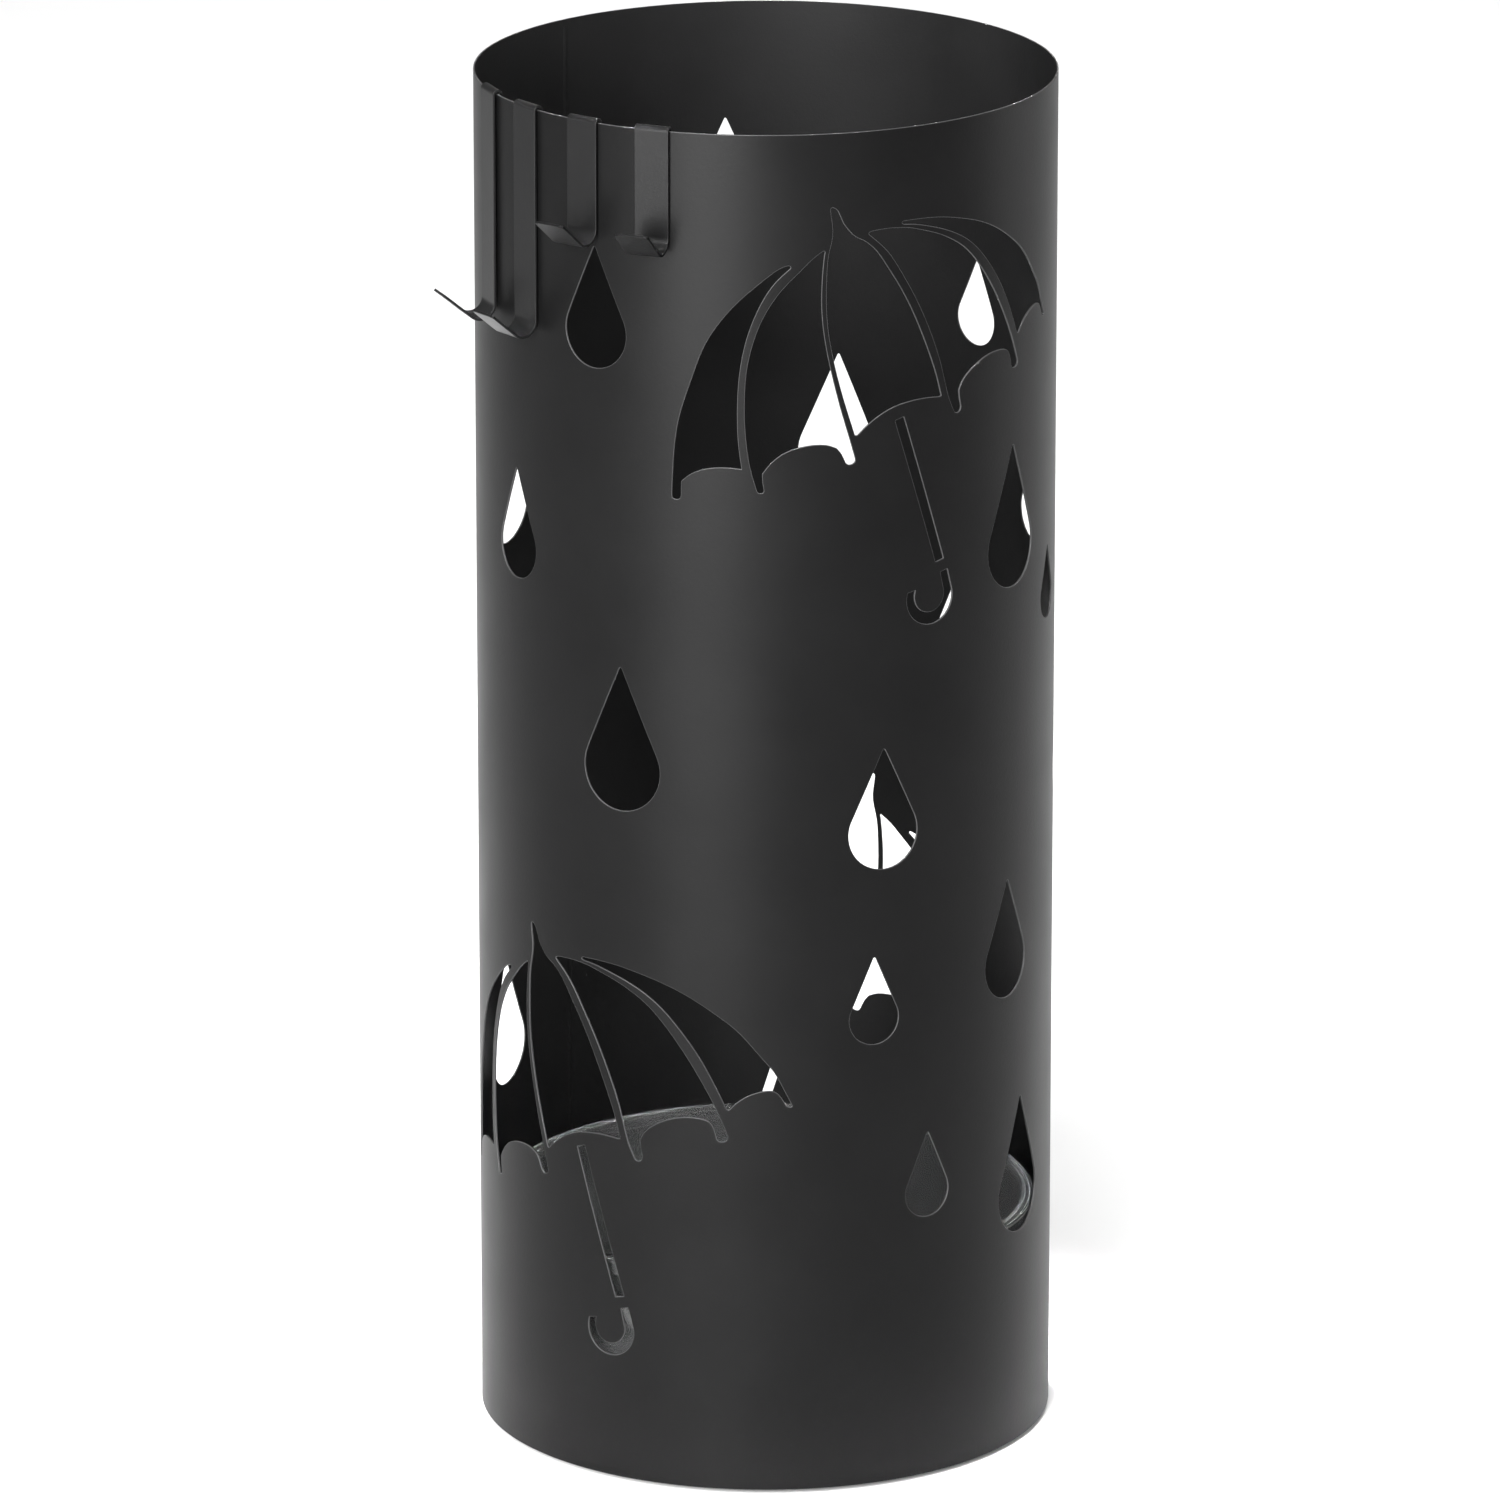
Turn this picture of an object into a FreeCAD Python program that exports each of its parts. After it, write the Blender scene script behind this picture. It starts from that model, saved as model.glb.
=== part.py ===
import FreeCAD, Part
import math
import os
from FreeCAD import Vector

os.makedirs("parts", exist_ok=True)

# ---------------------------------------------------------------------------
# Round sheet-steel umbrella stand, millimetres, +Z up.
# Origin: centre of the foot circle, on the floor plane (underside of the pads).
# Angle A is measured about Z from the front (-Y), positive towards +X.
# U is the arc length on the outer face of the shell, U = A * shell_radius.
# ---------------------------------------------------------------------------

# overall sizes
height = 470.0                 # floor to the rim of the shell
shell_radius = 97.5            # outer radius of the shell
wall = 0.7                     # sheet thickness of the shell
foot_gap = 1.5                 # shell's lower edge above the floor
seam_angle = -135.4            # where the rolled sheet is welded shut
seam_width = 2.4
seam_proud = 0.3

# base
pad_height = 1.5
pad_radius = 8.0
pad_circle = 74.0
plate_thick = 1.0
plate_radius = shell_radius - wall - 0.1
plate_rim = 7.0                # height of the turned-up edge
plate_corner = 2.5
weld_leg = 1.4
weld_span = 7.0                # degrees
weld_count = 6

# drip tray
tray_clear = 0.3               # above the base plate
tray_wall = 1.2
tray_foot_radius = 84.0
tray_mouth_radius = 89.0
tray_corner = 7.0
tray_top = 76.0
tray_lip_radius = 92.0
tray_lip_drop = 5.2
lug_angle = -157.5
lug_width = 6.4
lug_height = 7.6
lug_proud = 1.3

# hooks
hook_width = 12.0
hook_thick = 0.9
hook_over = 0.85               # inside radius of the bend over the rim
hook_axis = 97.1               # radius of that bend's axis
hook_rise = -0.2               # that axis relative to the rim
hook_inside = 19.2             # length of the inner leg
hook_bend = 5.0                # centre-line radius of the bottom bend
hook_arm = 12.2                # straight arm after the bend
hook_arm_tilt = 40.0           # degrees above horizontal
long_drop = 76.5               # rim to the lowest point
short_drop = 40.6
hooks = [("hook_long_outer", -68.8, long_drop), ("hook_long_inner", -53.5, long_drop),
         ("hook_short_outer", -37.6, short_drop), ("hook_short_inner", -22.2, short_drop)]

# raindrop cut-outs: (U of the tip, height of the tip, length, radius of the round end)
drops = [
    # front half
    (-59.9, 428.3, 41.1, 12.2), (-50.2, 286.2, 49.5, 14.4), (-98.6, 345.5, 37.7, 11.1),
    (97.5, 353.9, 48.9, 13.8), (128.3, 311.7, 25.3, 7.9), (40.4, 259.4, 41.6, 12.5),
    (95.8, 203.1, 41.1, 12.3), (37.2, 187.4, 30.4, 8.85), (57.7, 123.0, 29.7, 8.7),
    (105.5, 124.3, 48.0, 13.8),
    # back half
    (320.3, 429.3, 41.1, 12.2), (280.8, 346.6, 49.3, 14.2), (224.8, 387.1, 30.0, 9.2),
    (-195.6, 343.2, 49.3, 14.2), (188.4, 328.0, 31.2, 9.8), (-192.4, 147.1, 46.3, 13.6),
    (230.3, 281.0, 41.1, 12.2), (-199.2, 424.2, 49.3, 14.2), (-166.8, 391.2, 41.1, 12.2),
    (-211.0, 243.4, 41.1, 12.2), (-166.8, 248.4, 30.1, 8.8), (158.0, 258.0, 41.1, 12.2),
    (163.0, 148.0, 41.1, 12.2), (316.5, 278.4, 49.3, 14.2),
]
drop_tip = 0.45                # radius of the drop's tip

# umbrella cut-outs: position of the spike's top, (U, height)
umbrellas = [(22.2, 445.1), (-90.5, 189.5), (267.9, 197.0)]

# One umbrella, relative to the top of its spike, (U, height). Each panel of the canopy
# is a closed loop of smooth edges; the strips left between the panels are the ribs.
canopy = [
    # left outer panel
    [
        [(-14.81, -18.93), (-17.35, -19.79), (-21.67, -22.87), (-27.31, -27.62),
         (-32.96, -33.05), (-37.70, -38.84), (-42.20, -45.97), (-45.48, -54.00),
         (-48.31, -62.22), (-50.86, -70.44), (-52.34, -78.61), (-53.04, -86.70),
         (-53.53, -96.79)],
        [(-53.53, -96.79), (-53.23, -98.57), (-51.94, -98.95), (-50.75, -98.46),
         (-50.45, -96.52)],
        [(-50.45, -96.52), (-50.36, -92.70)],
        [(-50.36, -92.70), (-47.51, -90.25), (-43.62, -88.38), (-38.82, -87.40),
         (-34.06, -87.30), (-30.09, -87.68)],
        [(-30.09, -87.68), (-31.23, -79.38), (-31.61, -71.38), (-31.52, -63.36),
         (-30.87, -55.32), (-29.36, -46.78), (-26.92, -38.72), (-23.54, -31.18),
         (-19.23, -24.68), (-14.15, -19.84)],
        [(-14.15, -19.84), (-14.15, -19.14), (-14.81, -18.93)],
    ],
    # left inner panel
    [
        [(-3.14, -14.31), (-6.58, -16.76), (-11.03, -21.11), (-16.78, -27.01),
         (-21.47, -33.68), (-24.85, -40.70), (-27.20, -48.24), (-28.51, -55.28),
         (-29.07, -63.30), (-29.06, -71.32), (-28.49, -79.32), (-27.64, -85.32),
         (-26.50, -90.31), (-25.28, -94.30)],
        [(-25.28, -94.30), (-24.81, -95.51), (-23.86, -95.80), (-22.92, -95.39),
         (-22.93, -94.09)],
        [(-22.93, -94.09), (-23.30, -91.79), (-23.40, -89.28)],
        [(-23.40, -89.28), (-21.33, -86.46), (-17.58, -83.09), (-13.34, -81.05),
         (-7.65, -79.83), (-1.92, -80.01), (1.37, -81.21)],
        [(1.37, -81.21), (2.93, -83.13), (4.30, -86.03)],
        [(4.30, -86.03), (5.19, -87.01), (6.46, -87.01), (7.55, -86.20), (7.55, -84.89)],
        [(7.55, -84.89), (5.07, -76.26), (2.91, -69.08), (0.77, -60.91), (-1.18, -52.78),
         (-2.72, -44.67), (-3.69, -36.61), (-3.89, -28.60), (-3.52, -21.60), (-2.95, -15.62)],
        [(-2.95, -15.62), (-2.76, -14.63), (-3.14, -14.31)],
    ],
    # middle panel with the tip spike
    [
        [(-0.85, -0.71), (-0.46, -3.73), (-0.07, -6.76), (-0.26, -10.76), (-1.41, -15.69),
         (-1.98, -21.68), (-2.17, -28.68), (-1.96, -36.70), (-1.19, -43.75), (0.17, -50.85),
         (2.12, -59.00), (4.28, -66.66), (6.05, -72.32), (7.34, -76.44)],
        [(7.34, -76.44), (7.84, -77.38), (8.63, -77.15)],
        [(8.63, -77.15), (12.03, -74.04), (16.91, -70.82), (22.11, -68.69), (28.03, -67.64),
         (33.60, -67.42), (38.83, -67.82)],
        [(38.83, -67.82), (39.54, -67.54), (39.30, -66.49)],
        [(39.30, -66.49), (37.63, -60.47), (34.72, -52.47), (31.64, -44.98), (27.97, -36.94),
         (23.64, -28.86), (18.90, -21.31), (14.27, -14.83), (10.53, -11.69)],
        [(10.53, -11.69), (7.25, -9.93), (4.99, -7.57), (3.13, -4.75), (1.47, -1.04),
         (0.31, -0.08)],
        [(0.31, -0.08), (-0.47, 0.07), (-0.85, -0.71)],
    ],
    # right inner panel
    [
        [(12.80, -8.86), (17.36, -8.44), (21.71, -8.47), (26.57, -9.01), (31.89, -10.44),
         (38.26, -12.57), (44.38, -15.55), (49.71, -19.09), (55.13, -24.42), (60.10, -30.59),
         (64.55, -36.99), (68.29, -43.06), (71.56, -48.86), (74.59, -54.85), (76.53, -59.31),
         (77.93, -62.78)],
        [(77.93, -62.78), (77.61, -64.16), (76.00, -64.81), (74.38, -64.43), (73.84, -63.21)],
        [(73.84, -63.21), (73.30, -60.96), (71.78, -58.32), (68.95, -57.15), (65.00, -56.92),
         (60.56, -57.48), (56.06, -59.03), (51.47, -61.58), (48.55, -64.30), (47.13, -66.92)],
        [(47.13, -66.92), (47.49, -70.07), (48.08, -72.50)],
        [(48.08, -72.50), (47.61, -73.95), (46.42, -74.48), (45.35, -74.08)],
        [(45.35, -74.08), (43.43, -70.17), (41.73, -65.09), (39.76, -57.65), (36.76, -49.04),
         (32.93, -40.04), (28.59, -31.42), (23.82, -23.27), (18.83, -15.91), (12.80, -10.24)],
        [(12.80, -10.24), (12.18, -9.47), (12.80, -8.86)],
    ],
    # right outer panel
    [
        [(24.79, -6.53), (29.26, -6.50), (37.01, -6.84), (46.76, -8.56), (56.04, -11.19),
         (64.98, -15.05), (73.70, -20.35), (81.76, -26.61), (89.23, -35.18), (92.65, -39.19),
         (95.10, -43.11), (97.25, -47.50), (99.18, -51.22)],
        [(99.18, -51.22), (99.39, -52.14), (98.11, -52.32), (97.25, -51.60)],
        [(97.25, -51.60), (95.75, -48.94), (94.04, -47.19), (91.69, -46.59), (86.58, -47.61),
         (81.78, -50.21), (78.89, -52.93)],
        [(78.89, -52.93), (78.03, -53.53), (77.28, -53.00)],
        [(77.28, -53.00), (75.66, -49.43), (73.18, -44.43), (69.92, -38.38), (66.09, -32.40),
         (61.11, -26.03), (55.47, -20.04), (49.12, -15.29), (41.96, -11.82), (34.47, -9.38),
         (28.59, -8.01), (24.92, -7.65)],
        [(24.92, -7.65), (24.09, -7.01), (24.79, -6.53)],
    ],
]
# straight slot for the stick
stick = [(21.8, -73.7), (25.0, -72.7), (40.9, -123.3), (37.6, -124.1)]
# crook handle: outer and inner arcs with a short straight leg
crook_outer = (35.5, -135.9, 9.1)
crook_inner = (35.2, -134.95, 5.95)
crook_leg = [(39.6, -127.9), (42.5, -127.1)]
crook_end = 163.0              # degrees, where the short end of the crook stops


def pol(radius, angle, z=0.0):
    a = math.radians(angle)
    return Vector(radius * math.sin(a), -radius * math.cos(a), z)


def local_frame(u0):
    a = u0 / shell_radius
    return Vector(math.sin(a), -math.cos(a), 0), Vector(math.cos(a), math.sin(a), 0)


def to_plane(p, u0, depth):
    """Point (U, z) of the shell, projected along the local radius onto a flat plane."""
    er, et = local_frame(u0)
    return er * depth + et * (shell_radius * math.sin((p[0] - u0) / shell_radius)) + Vector(0, 0, p[1])


def smooth_edge(points, u0, depth):
    pts = [to_plane(p, u0, depth) for p in points]
    if len(pts) == 2:
        return Part.LineSegment(pts[0], pts[1]).toShape()
    params = [0.0]
    for a, b in zip(pts[:-1], pts[1:]):
        params.append(params[-1] + math.sqrt((b - a).Length))
    params = [q / params[-1] for q in params]
    curve = Part.BSplineCurve()
    curve.interpolate(Points=pts, Parameters=params)
    return curve.toShape()


def punch(edges, u0, depth, reach):
    """Closed loop of edges, pushed out along the local radius through the wall."""
    wire = Part.Wire(Part.__sortEdges__(edges))
    if not wire.isClosed():
        raise ValueError("open cut-out loop")
    er, et = local_frame(u0)
    return Part.Face(wire).extrude(er * reach)


def arc_points(cx, cz, r, a0, a1, n):
    return [(cx + r * math.cos(math.radians(a0 + (a1 - a0) * k / n)),
             cz + r * math.sin(math.radians(a0 + (a1 - a0) * k / n))) for k in range(n + 1)]


punch_depth, punch_reach = 84.0, 20.0


def drop_punch(u, z_tip, length, r):
    """Raindrop: round below, two tangents up to a small round tip."""
    zc = z_tip - length + r
    zt = z_tip - drop_tip
    half = math.asin((r - drop_tip) / (zt - zc))
    deg = math.degrees(half)
    low = arc_points(u, zc, r, deg, -180.0 - deg, 16)
    top = arc_points(u, zt, drop_tip, 180.0 - deg, deg, 6)
    loop = [smooth_edge(low, u, punch_depth),
            smooth_edge([low[-1], top[0]], u, punch_depth),
            smooth_edge(top, u, punch_depth),
            smooth_edge([top[-1], low[0]], u, punch_depth)]
    return punch(loop, u, punch_depth, punch_reach)


def umbrella_punches(u, z):
    made = []
    for panel in canopy:
        us = [p[0] for e in panel for p in e]
        u0 = u + (min(us) + max(us)) / 2.0
        edges = [smooth_edge([(u + p[0], z + p[1]) for p in e], u0, punch_depth) for e in panel]
        made.append(punch(edges, u0, punch_depth, punch_reach))
    u0 = u + 31.0
    pts = [(u + p[0], z + p[1]) for p in stick]
    edges = [smooth_edge([pts[i], pts[(i + 1) % 4]], u0, punch_depth) for i in range(4)]
    made.append(punch(edges, u0, punch_depth, punch_reach))
    u0 = u + 35.5
    ox, oz, orad = crook_outer
    ix, iz, irad = crook_inner
    outer = arc_points(ox, oz, orad, 8.0, crook_end - 360.0, 18)
    inner = arc_points(ix, iz, irad, crook_end - 6.0 - 360.0, 8.0, 18)
    leg_in, leg_out = crook_leg
    chain = [[leg_out, outer[0]], outer, [outer[-1], inner[0]], inner, [inner[-1], leg_in],
             [leg_in, leg_out]]
    edges = [smooth_edge([(u + p[0], z + p[1]) for p in e], u0, punch_depth) for e in chain]
    made.append(punch(edges, u0, punch_depth, punch_reach))
    return made


def save(name, shape):
    if not shape.isValid():
        print("INVALID", name)
    solids = shape.Solids
    out = solids[0] if len(solids) == 1 else Part.makeCompound(solids)
    out.exportStep("parts/%s.step" % name)
    box = out.BoundBox
    print("%-18s solids %2d  faces %3d  vol %10.1f  x %.1f..%.1f y %.1f..%.1f z %.2f..%.2f" % (
        name, len(solids), len(out.Faces), out.Volume, box.XMin, box.XMax, box.YMin, box.YMax,
        box.ZMin, box.ZMax))
    return out


# ---------------------------------------------------------------------------
# body_shell: rolled sheet tube with the pattern cut through it
# ---------------------------------------------------------------------------
tube_h = height - foot_gap
tube = Part.makeCylinder(shell_radius, tube_h, Vector(0, 0, foot_gap))
bore = Part.makeCylinder(shell_radius - wall, tube_h + 2, Vector(0, 0, foot_gap - 1))
tube = tube.cut(bore)
tube.rotate(Vector(0, 0, 0), Vector(0, 0, 1), seam_angle - 90.0)
tools = [drop_punch(*d) for d in drops]
for u, z in umbrellas:
    tools += umbrella_punches(u, z)
shell = tube.cut(tools)
save("body_shell", shell)

# ---------------------------------------------------------------------------
# seam_weld: low bead down the inside of the shell
# ---------------------------------------------------------------------------
def ring_sector(r0, r1, a0, a1, z0, z1):
    am = (a0 + a1) / 2.0
    e = [Part.Arc(pol(r1, a0, z0), pol(r1, am, z0), pol(r1, a1, z0)).toShape(),
         Part.LineSegment(pol(r1, a1, z0), pol(r0, a1, z0)).toShape(),
         Part.Arc(pol(r0, a1, z0), pol(r0, am, z0), pol(r0, a0, z0)).toShape(),
         Part.LineSegment(pol(r0, a0, z0), pol(r1, a0, z0)).toShape()]
    return Part.Face(Part.Wire(Part.__sortEdges__(e))).extrude(Vector(0, 0, z1 - z0))


inner_r = shell_radius - wall
half_seam = math.degrees(seam_width / 2.0 / inner_r)
plate_top = pad_height + plate_thick
seam = ring_sector(inner_r - seam_proud, inner_r, seam_angle - half_seam, seam_angle + half_seam,
                   pad_height + plate_rim + 3.0, height - 1.5)
save("seam_weld", seam)

# ---------------------------------------------------------------------------
# base_plate: pressed disc with a turned-up edge
# ---------------------------------------------------------------------------
def lathe(points):
    """Closed profile of (r, z) or ('arc', mid, end) steps, turned about Z."""
    edges = []
    last = Vector(points[0][0], 0, points[0][1])
    first = last
    for p in points[1:]:
        if p[0] == "arc":
            mid = Vector(p[1][0], 0, p[1][1])
            end = Vector(p[2][0], 0, p[2][1])
            edges.append(Part.Arc(last, mid, end).toShape())
            last = end
        else:
            end = Vector(p[0], 0, p[1])
            edges.append(Part.LineSegment(last, end).toShape())
            last = end
    edges.append(Part.LineSegment(last, first).toShape())
    face = Part.Face(Part.Wire(edges))
    return face.revolve(Vector(0, 0, 0), Vector(0, 0, 1), 360)


def corner(cx, cz, r, a):
    return (cx + r * math.cos(math.radians(a)), cz + r * math.sin(math.radians(a)))


z0 = pad_height
ro, ri = plate_corner + plate_thick, plate_corner
cx, cz = plate_radius - ro, z0 + ro
ring_r, ring_w, ring_h = 54.0, 4.0, 0.8      # pressed stiffening ring
plate = lathe([
    (0, z0), (ring_r - ring_w - 1.5, z0), (ring_r - ring_w, z0 + ring_h),
    (ring_r + ring_w, z0 + ring_h), (ring_r + ring_w + 1.5, z0), (cx, z0),
    ("arc", corner(cx, cz, ro, -45), (cx + ro, cz)),
    (plate_radius, z0 + plate_rim), (plate_radius - plate_thick, z0 + plate_rim),
    (plate_radius - plate_thick, cz),
    ("arc", corner(cx, cz, ri, -45), (cx, cz - ri)),
    (ring_r + ring_w + 2.0, z0 + plate_thick), (ring_r + ring_w + 0.5, z0 + plate_thick + ring_h),
    (ring_r - ring_w - 0.5, z0 + plate_thick + ring_h), (ring_r - ring_w - 2.0, z0 + plate_thick),
    (0, z0 + plate_thick)])
save("base_plate", plate)

# ---------------------------------------------------------------------------
# base_welds: tack fillets joining the plate's edge to the shell
# ---------------------------------------------------------------------------
welds = []
zt = pad_height + plate_rim
for k in range(weld_count):
    a = seam_angle + 30.0 + k * 360.0 / weld_count
    tri = Part.makePolygon([Vector(inner_r, 0, zt), Vector(inner_r, 0, zt + weld_leg),
                            Vector(inner_r - weld_leg * 0.75, 0, zt), Vector(inner_r, 0, zt)])
    bead = Part.Face(tri).revolve(Vector(0, 0, 0), Vector(0, 0, 1), weld_span)
    bead.rotate(Vector(0, 0, 0), Vector(0, 0, 1), a - 90.0 - weld_span / 2.0)
    welds.append(bead)
save("base_welds", Part.makeCompound(welds))

# ---------------------------------------------------------------------------
# foot_pads: four self-adhesive discs under the base plate
# ---------------------------------------------------------------------------
pads = []
for k in range(4):
    p = pol(pad_circle, 45.0 + 90.0 * k)
    c = 0.4
    disc = Part.makeCylinder(pad_radius, pad_height - c, Vector(p.x, p.y, c))
    cone = Part.makeCone(pad_radius - c, pad_radius, c, Vector(p.x, p.y, 0))
    pads.append(disc.fuse(cone).removeSplitter())
save("foot_pads", Part.makeCompound(pads))

# ---------------------------------------------------------------------------
# drip_tray: clear dish with a tapered wall, a turned-down lip and a small lug
# ---------------------------------------------------------------------------
tz = plate_top + tray_clear
t = tray_wall
rise = tray_top - tz
lean = math.atan2(tray_mouth_radius - tray_foot_radius, rise)


def wall_r(z):
    return tray_foot_radius + (z - tz) * math.tan(lean)


rc = tray_corner
ccx, ccz = wall_r(tz + rc) - rc, tz + rc
ang = math.degrees(lean)
tray = lathe([
    (0, tz + 1.0), (70.0, tz + 1.0), (72.0, tz), (ccx, tz),
    ("arc", corner(ccx, ccz, rc, -45), (ccx + rc, ccz)),
    (wall_r(tray_top - t), tray_top - t),
    (tray_lip_radius - t, tray_top - t), (tray_lip_radius - t, tray_top - tray_lip_drop),
    (tray_lip_radius, tray_top - tray_lip_drop), (tray_lip_radius, tray_top - 0.8),
    ("arc", corner(tray_lip_radius - 0.8, tray_top - 0.8, 0.8, 45), (tray_lip_radius - 0.8, tray_top)),
    (wall_r(tray_top) - t, tray_top),
    (ccx + rc - t, ccz),
    ("arc", corner(ccx, ccz, rc - t, -45), (ccx, tz + t)),
    (72.5, tz + t), (70.5, tz + t + 1.0), (0, tz + t + 1.0)])
# lug: half-round topped boss on the inner face of the wall
lug_z = tray_top - t - 1.2
er = pol(1.0, lug_angle)
et = Vector(math.cos(math.radians(lug_angle)), math.sin(math.radians(lug_angle)), 0)
face_r = wall_r(lug_z - lug_height) - t - lug_proud
w2 = lug_width / 2.0
a0 = er * face_r - et * w2 + Vector(0, 0, lug_z - lug_height)
a1 = er * face_r - et * w2 + Vector(0, 0, lug_z - w2)
a2 = er * face_r + Vector(0, 0, lug_z)
a3 = er * face_r + et * w2 + Vector(0, 0, lug_z - w2)
a4 = er * face_r + et * w2 + Vector(0, 0, lug_z - lug_height)
lug_wire = Part.Wire([Part.LineSegment(a0, a1).toShape(), Part.Arc(a1, a2, a3).toShape(),
                      Part.LineSegment(a3, a4).toShape(), Part.LineSegment(a4, a0).toShape()])
lug = Part.Face(lug_wire).extrude(er * (lug_proud + t * 0.6 + 0.4))
tray = tray.fuse(lug).removeSplitter()
save("drip_tray", tray)

# ---------------------------------------------------------------------------
# hooks: flat strip folded over the rim, bent out and up at the bottom
# ---------------------------------------------------------------------------
def hook(angle, drop):
    ht = hook_thick / 2.0
    top_z = height + hook_rise
    rin = hook_over
    rout = hook_over + hook_thick
    zc = height - drop + hook_bend + ht
    leg = hook_axis + hook_over + ht               # centre line of the outer leg
    bx = leg + hook_bend
    tilt = math.radians(hook_arm_tilt)
    end = -90.0 + hook_arm_tilt

    def v(r, z):
        return Vector(r, 0, z)

    def on(c, r, a):
        return v(c[0] + r * math.cos(math.radians(a)), c[1] + r * math.sin(math.radians(a)))

    c1, c2 = (hook_axis, top_z), (bx, zc)
    z_in = height - hook_inside
    a_in, b_in = v(hook_axis - rout, z_in), v(hook_axis - rout, top_z)
    a_out, b_out = v(hook_axis - rin, z_in), v(hook_axis - rin, top_z)
    d_in, d_out = v(hook_axis + rout, top_z), v(hook_axis + rin, top_z)
    r_small, r_big = hook_bend - ht, hook_bend + ht
    e_in, e_out = v(bx - r_small, zc), v(bx - r_big, zc)
    f_in, f_out = on(c2, r_small, end), on(c2, r_big, end)
    along = Vector(math.cos(tilt), 0, math.sin(tilt)) * hook_arm
    g_in, g_out = f_in + along, f_out + along
    mid = (180.0 + 270.0 + hook_arm_tilt) / 2.0
    e = [Part.LineSegment(a_in, b_in).toShape(),
         Part.Arc(b_in, on(c1, rout, 90), d_in).toShape(),
         Part.LineSegment(d_in, e_in).toShape(),
         Part.Arc(e_in, on(c2, r_small, mid), f_in).toShape(),
         Part.LineSegment(f_in, g_in).toShape(),
         Part.LineSegment(g_in, g_out).toShape(),
         Part.LineSegment(g_out, f_out).toShape(),
         Part.Arc(f_out, on(c2, r_big, mid), e_out).toShape(),
         Part.LineSegment(e_out, d_out).toShape(),
         Part.Arc(d_out, on(c1, rin, 90), b_out).toShape(),
         Part.LineSegment(b_out, a_out).toShape(),
         Part.LineSegment(a_out, a_in).toShape()]
    strip = Part.Face(Part.Wire(e)).extrude(Vector(0, hook_width, 0))
    strip.translate(Vector(0, -hook_width / 2.0, 0))
    # round the four corners at the two ends of the strip
    ends = []
    for edge in strip.Edges:
        vs = [q.Point for q in edge.Vertexes]
        if len(vs) != 2 or abs((vs[1] - vs[0]).Length - hook_thick) > 0.01:
            continue
        m = (vs[0] + vs[1]) * 0.5
        if (m - Vector(m.x, m.y, z_in)).Length < 0.01 or (m - (g_in + g_out) * 0.5
                                                        - Vector(0, m.y, 0)).Length < 0.01:
            ends.append(edge)
    strip = strip.makeFillet(1.5, ends)
    strip.rotate(Vector(0, 0, 0), Vector(0, 0, 1), angle - 90.0)
    return strip


for name, angle, drop in hooks:
    save(name, hook(angle, drop))
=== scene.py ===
import bpy
import math
import numpy as np
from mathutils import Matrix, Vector
from mathutils.geometry import delaunay_2d_cdt


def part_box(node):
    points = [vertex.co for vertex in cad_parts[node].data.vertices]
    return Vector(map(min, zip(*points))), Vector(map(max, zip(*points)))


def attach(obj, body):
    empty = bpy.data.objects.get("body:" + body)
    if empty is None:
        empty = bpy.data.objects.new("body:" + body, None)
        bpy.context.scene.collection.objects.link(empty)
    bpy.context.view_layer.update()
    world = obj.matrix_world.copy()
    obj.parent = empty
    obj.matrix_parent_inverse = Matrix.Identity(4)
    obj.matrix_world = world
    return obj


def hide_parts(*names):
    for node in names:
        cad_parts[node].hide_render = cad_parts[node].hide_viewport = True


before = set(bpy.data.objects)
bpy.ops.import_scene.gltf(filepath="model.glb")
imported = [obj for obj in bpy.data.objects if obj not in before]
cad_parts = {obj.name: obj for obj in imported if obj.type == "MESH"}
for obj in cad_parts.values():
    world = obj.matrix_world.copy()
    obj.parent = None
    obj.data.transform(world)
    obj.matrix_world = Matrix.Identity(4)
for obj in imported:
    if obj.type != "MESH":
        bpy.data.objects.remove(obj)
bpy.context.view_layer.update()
MM = 0.001
np.random.seed(7)

# ---------------------------------------------------------------------------
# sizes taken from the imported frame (millimetres here, metres in the meshes)
# ---------------------------------------------------------------------------
lo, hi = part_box("body_shell")
R = hi.x / MM                       # outer radius of the shell
Z0, Z1 = lo.z / MM, hi.z / MM       # lower edge and rim
T = 0.7                             # sheet thickness
CIRC = 2 * math.pi * R
SEAM = math.radians(-135.4)

DROPS = [
    # front half
    (-59.9, 428.3, 41.1, 12.2), (-50.2, 286.2, 49.5, 14.4), (-98.6, 345.5, 37.7, 11.1),
    (97.5, 353.9, 48.9, 13.8), (128.3, 311.7, 25.3, 7.9), (40.4, 259.4, 41.6, 12.5),
    (95.8, 203.1, 41.1, 12.3), (37.2, 187.4, 30.4, 8.85), (57.7, 123.0, 29.7, 8.7),
    (105.5, 124.3, 48.0, 13.8),
    # back half
    (320.3, 429.3, 41.1, 12.2), (280.8, 346.6, 49.3, 14.2), (224.8, 387.1, 30.0, 9.2),
    (-195.6, 343.2, 49.3, 14.2), (188.4, 328.0, 31.2, 9.8), (-192.4, 147.1, 46.3, 13.6),
    (230.3, 281.0, 41.1, 12.2), (-199.2, 424.2, 49.3, 14.2), (-166.8, 391.2, 41.1, 12.2),
    (-211.0, 243.4, 41.1, 12.2), (-166.8, 248.4, 30.1, 8.8), (158.0, 258.0, 41.1, 12.2),
    (163.0, 148.0, 41.1, 12.2), (316.5, 278.4, 49.3, 14.2),
]
DROP_TIP = 0.45
UMBRELLAS = [(22.2, 445.1), (-90.5, 189.5), (267.9, 197.0)]
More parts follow.
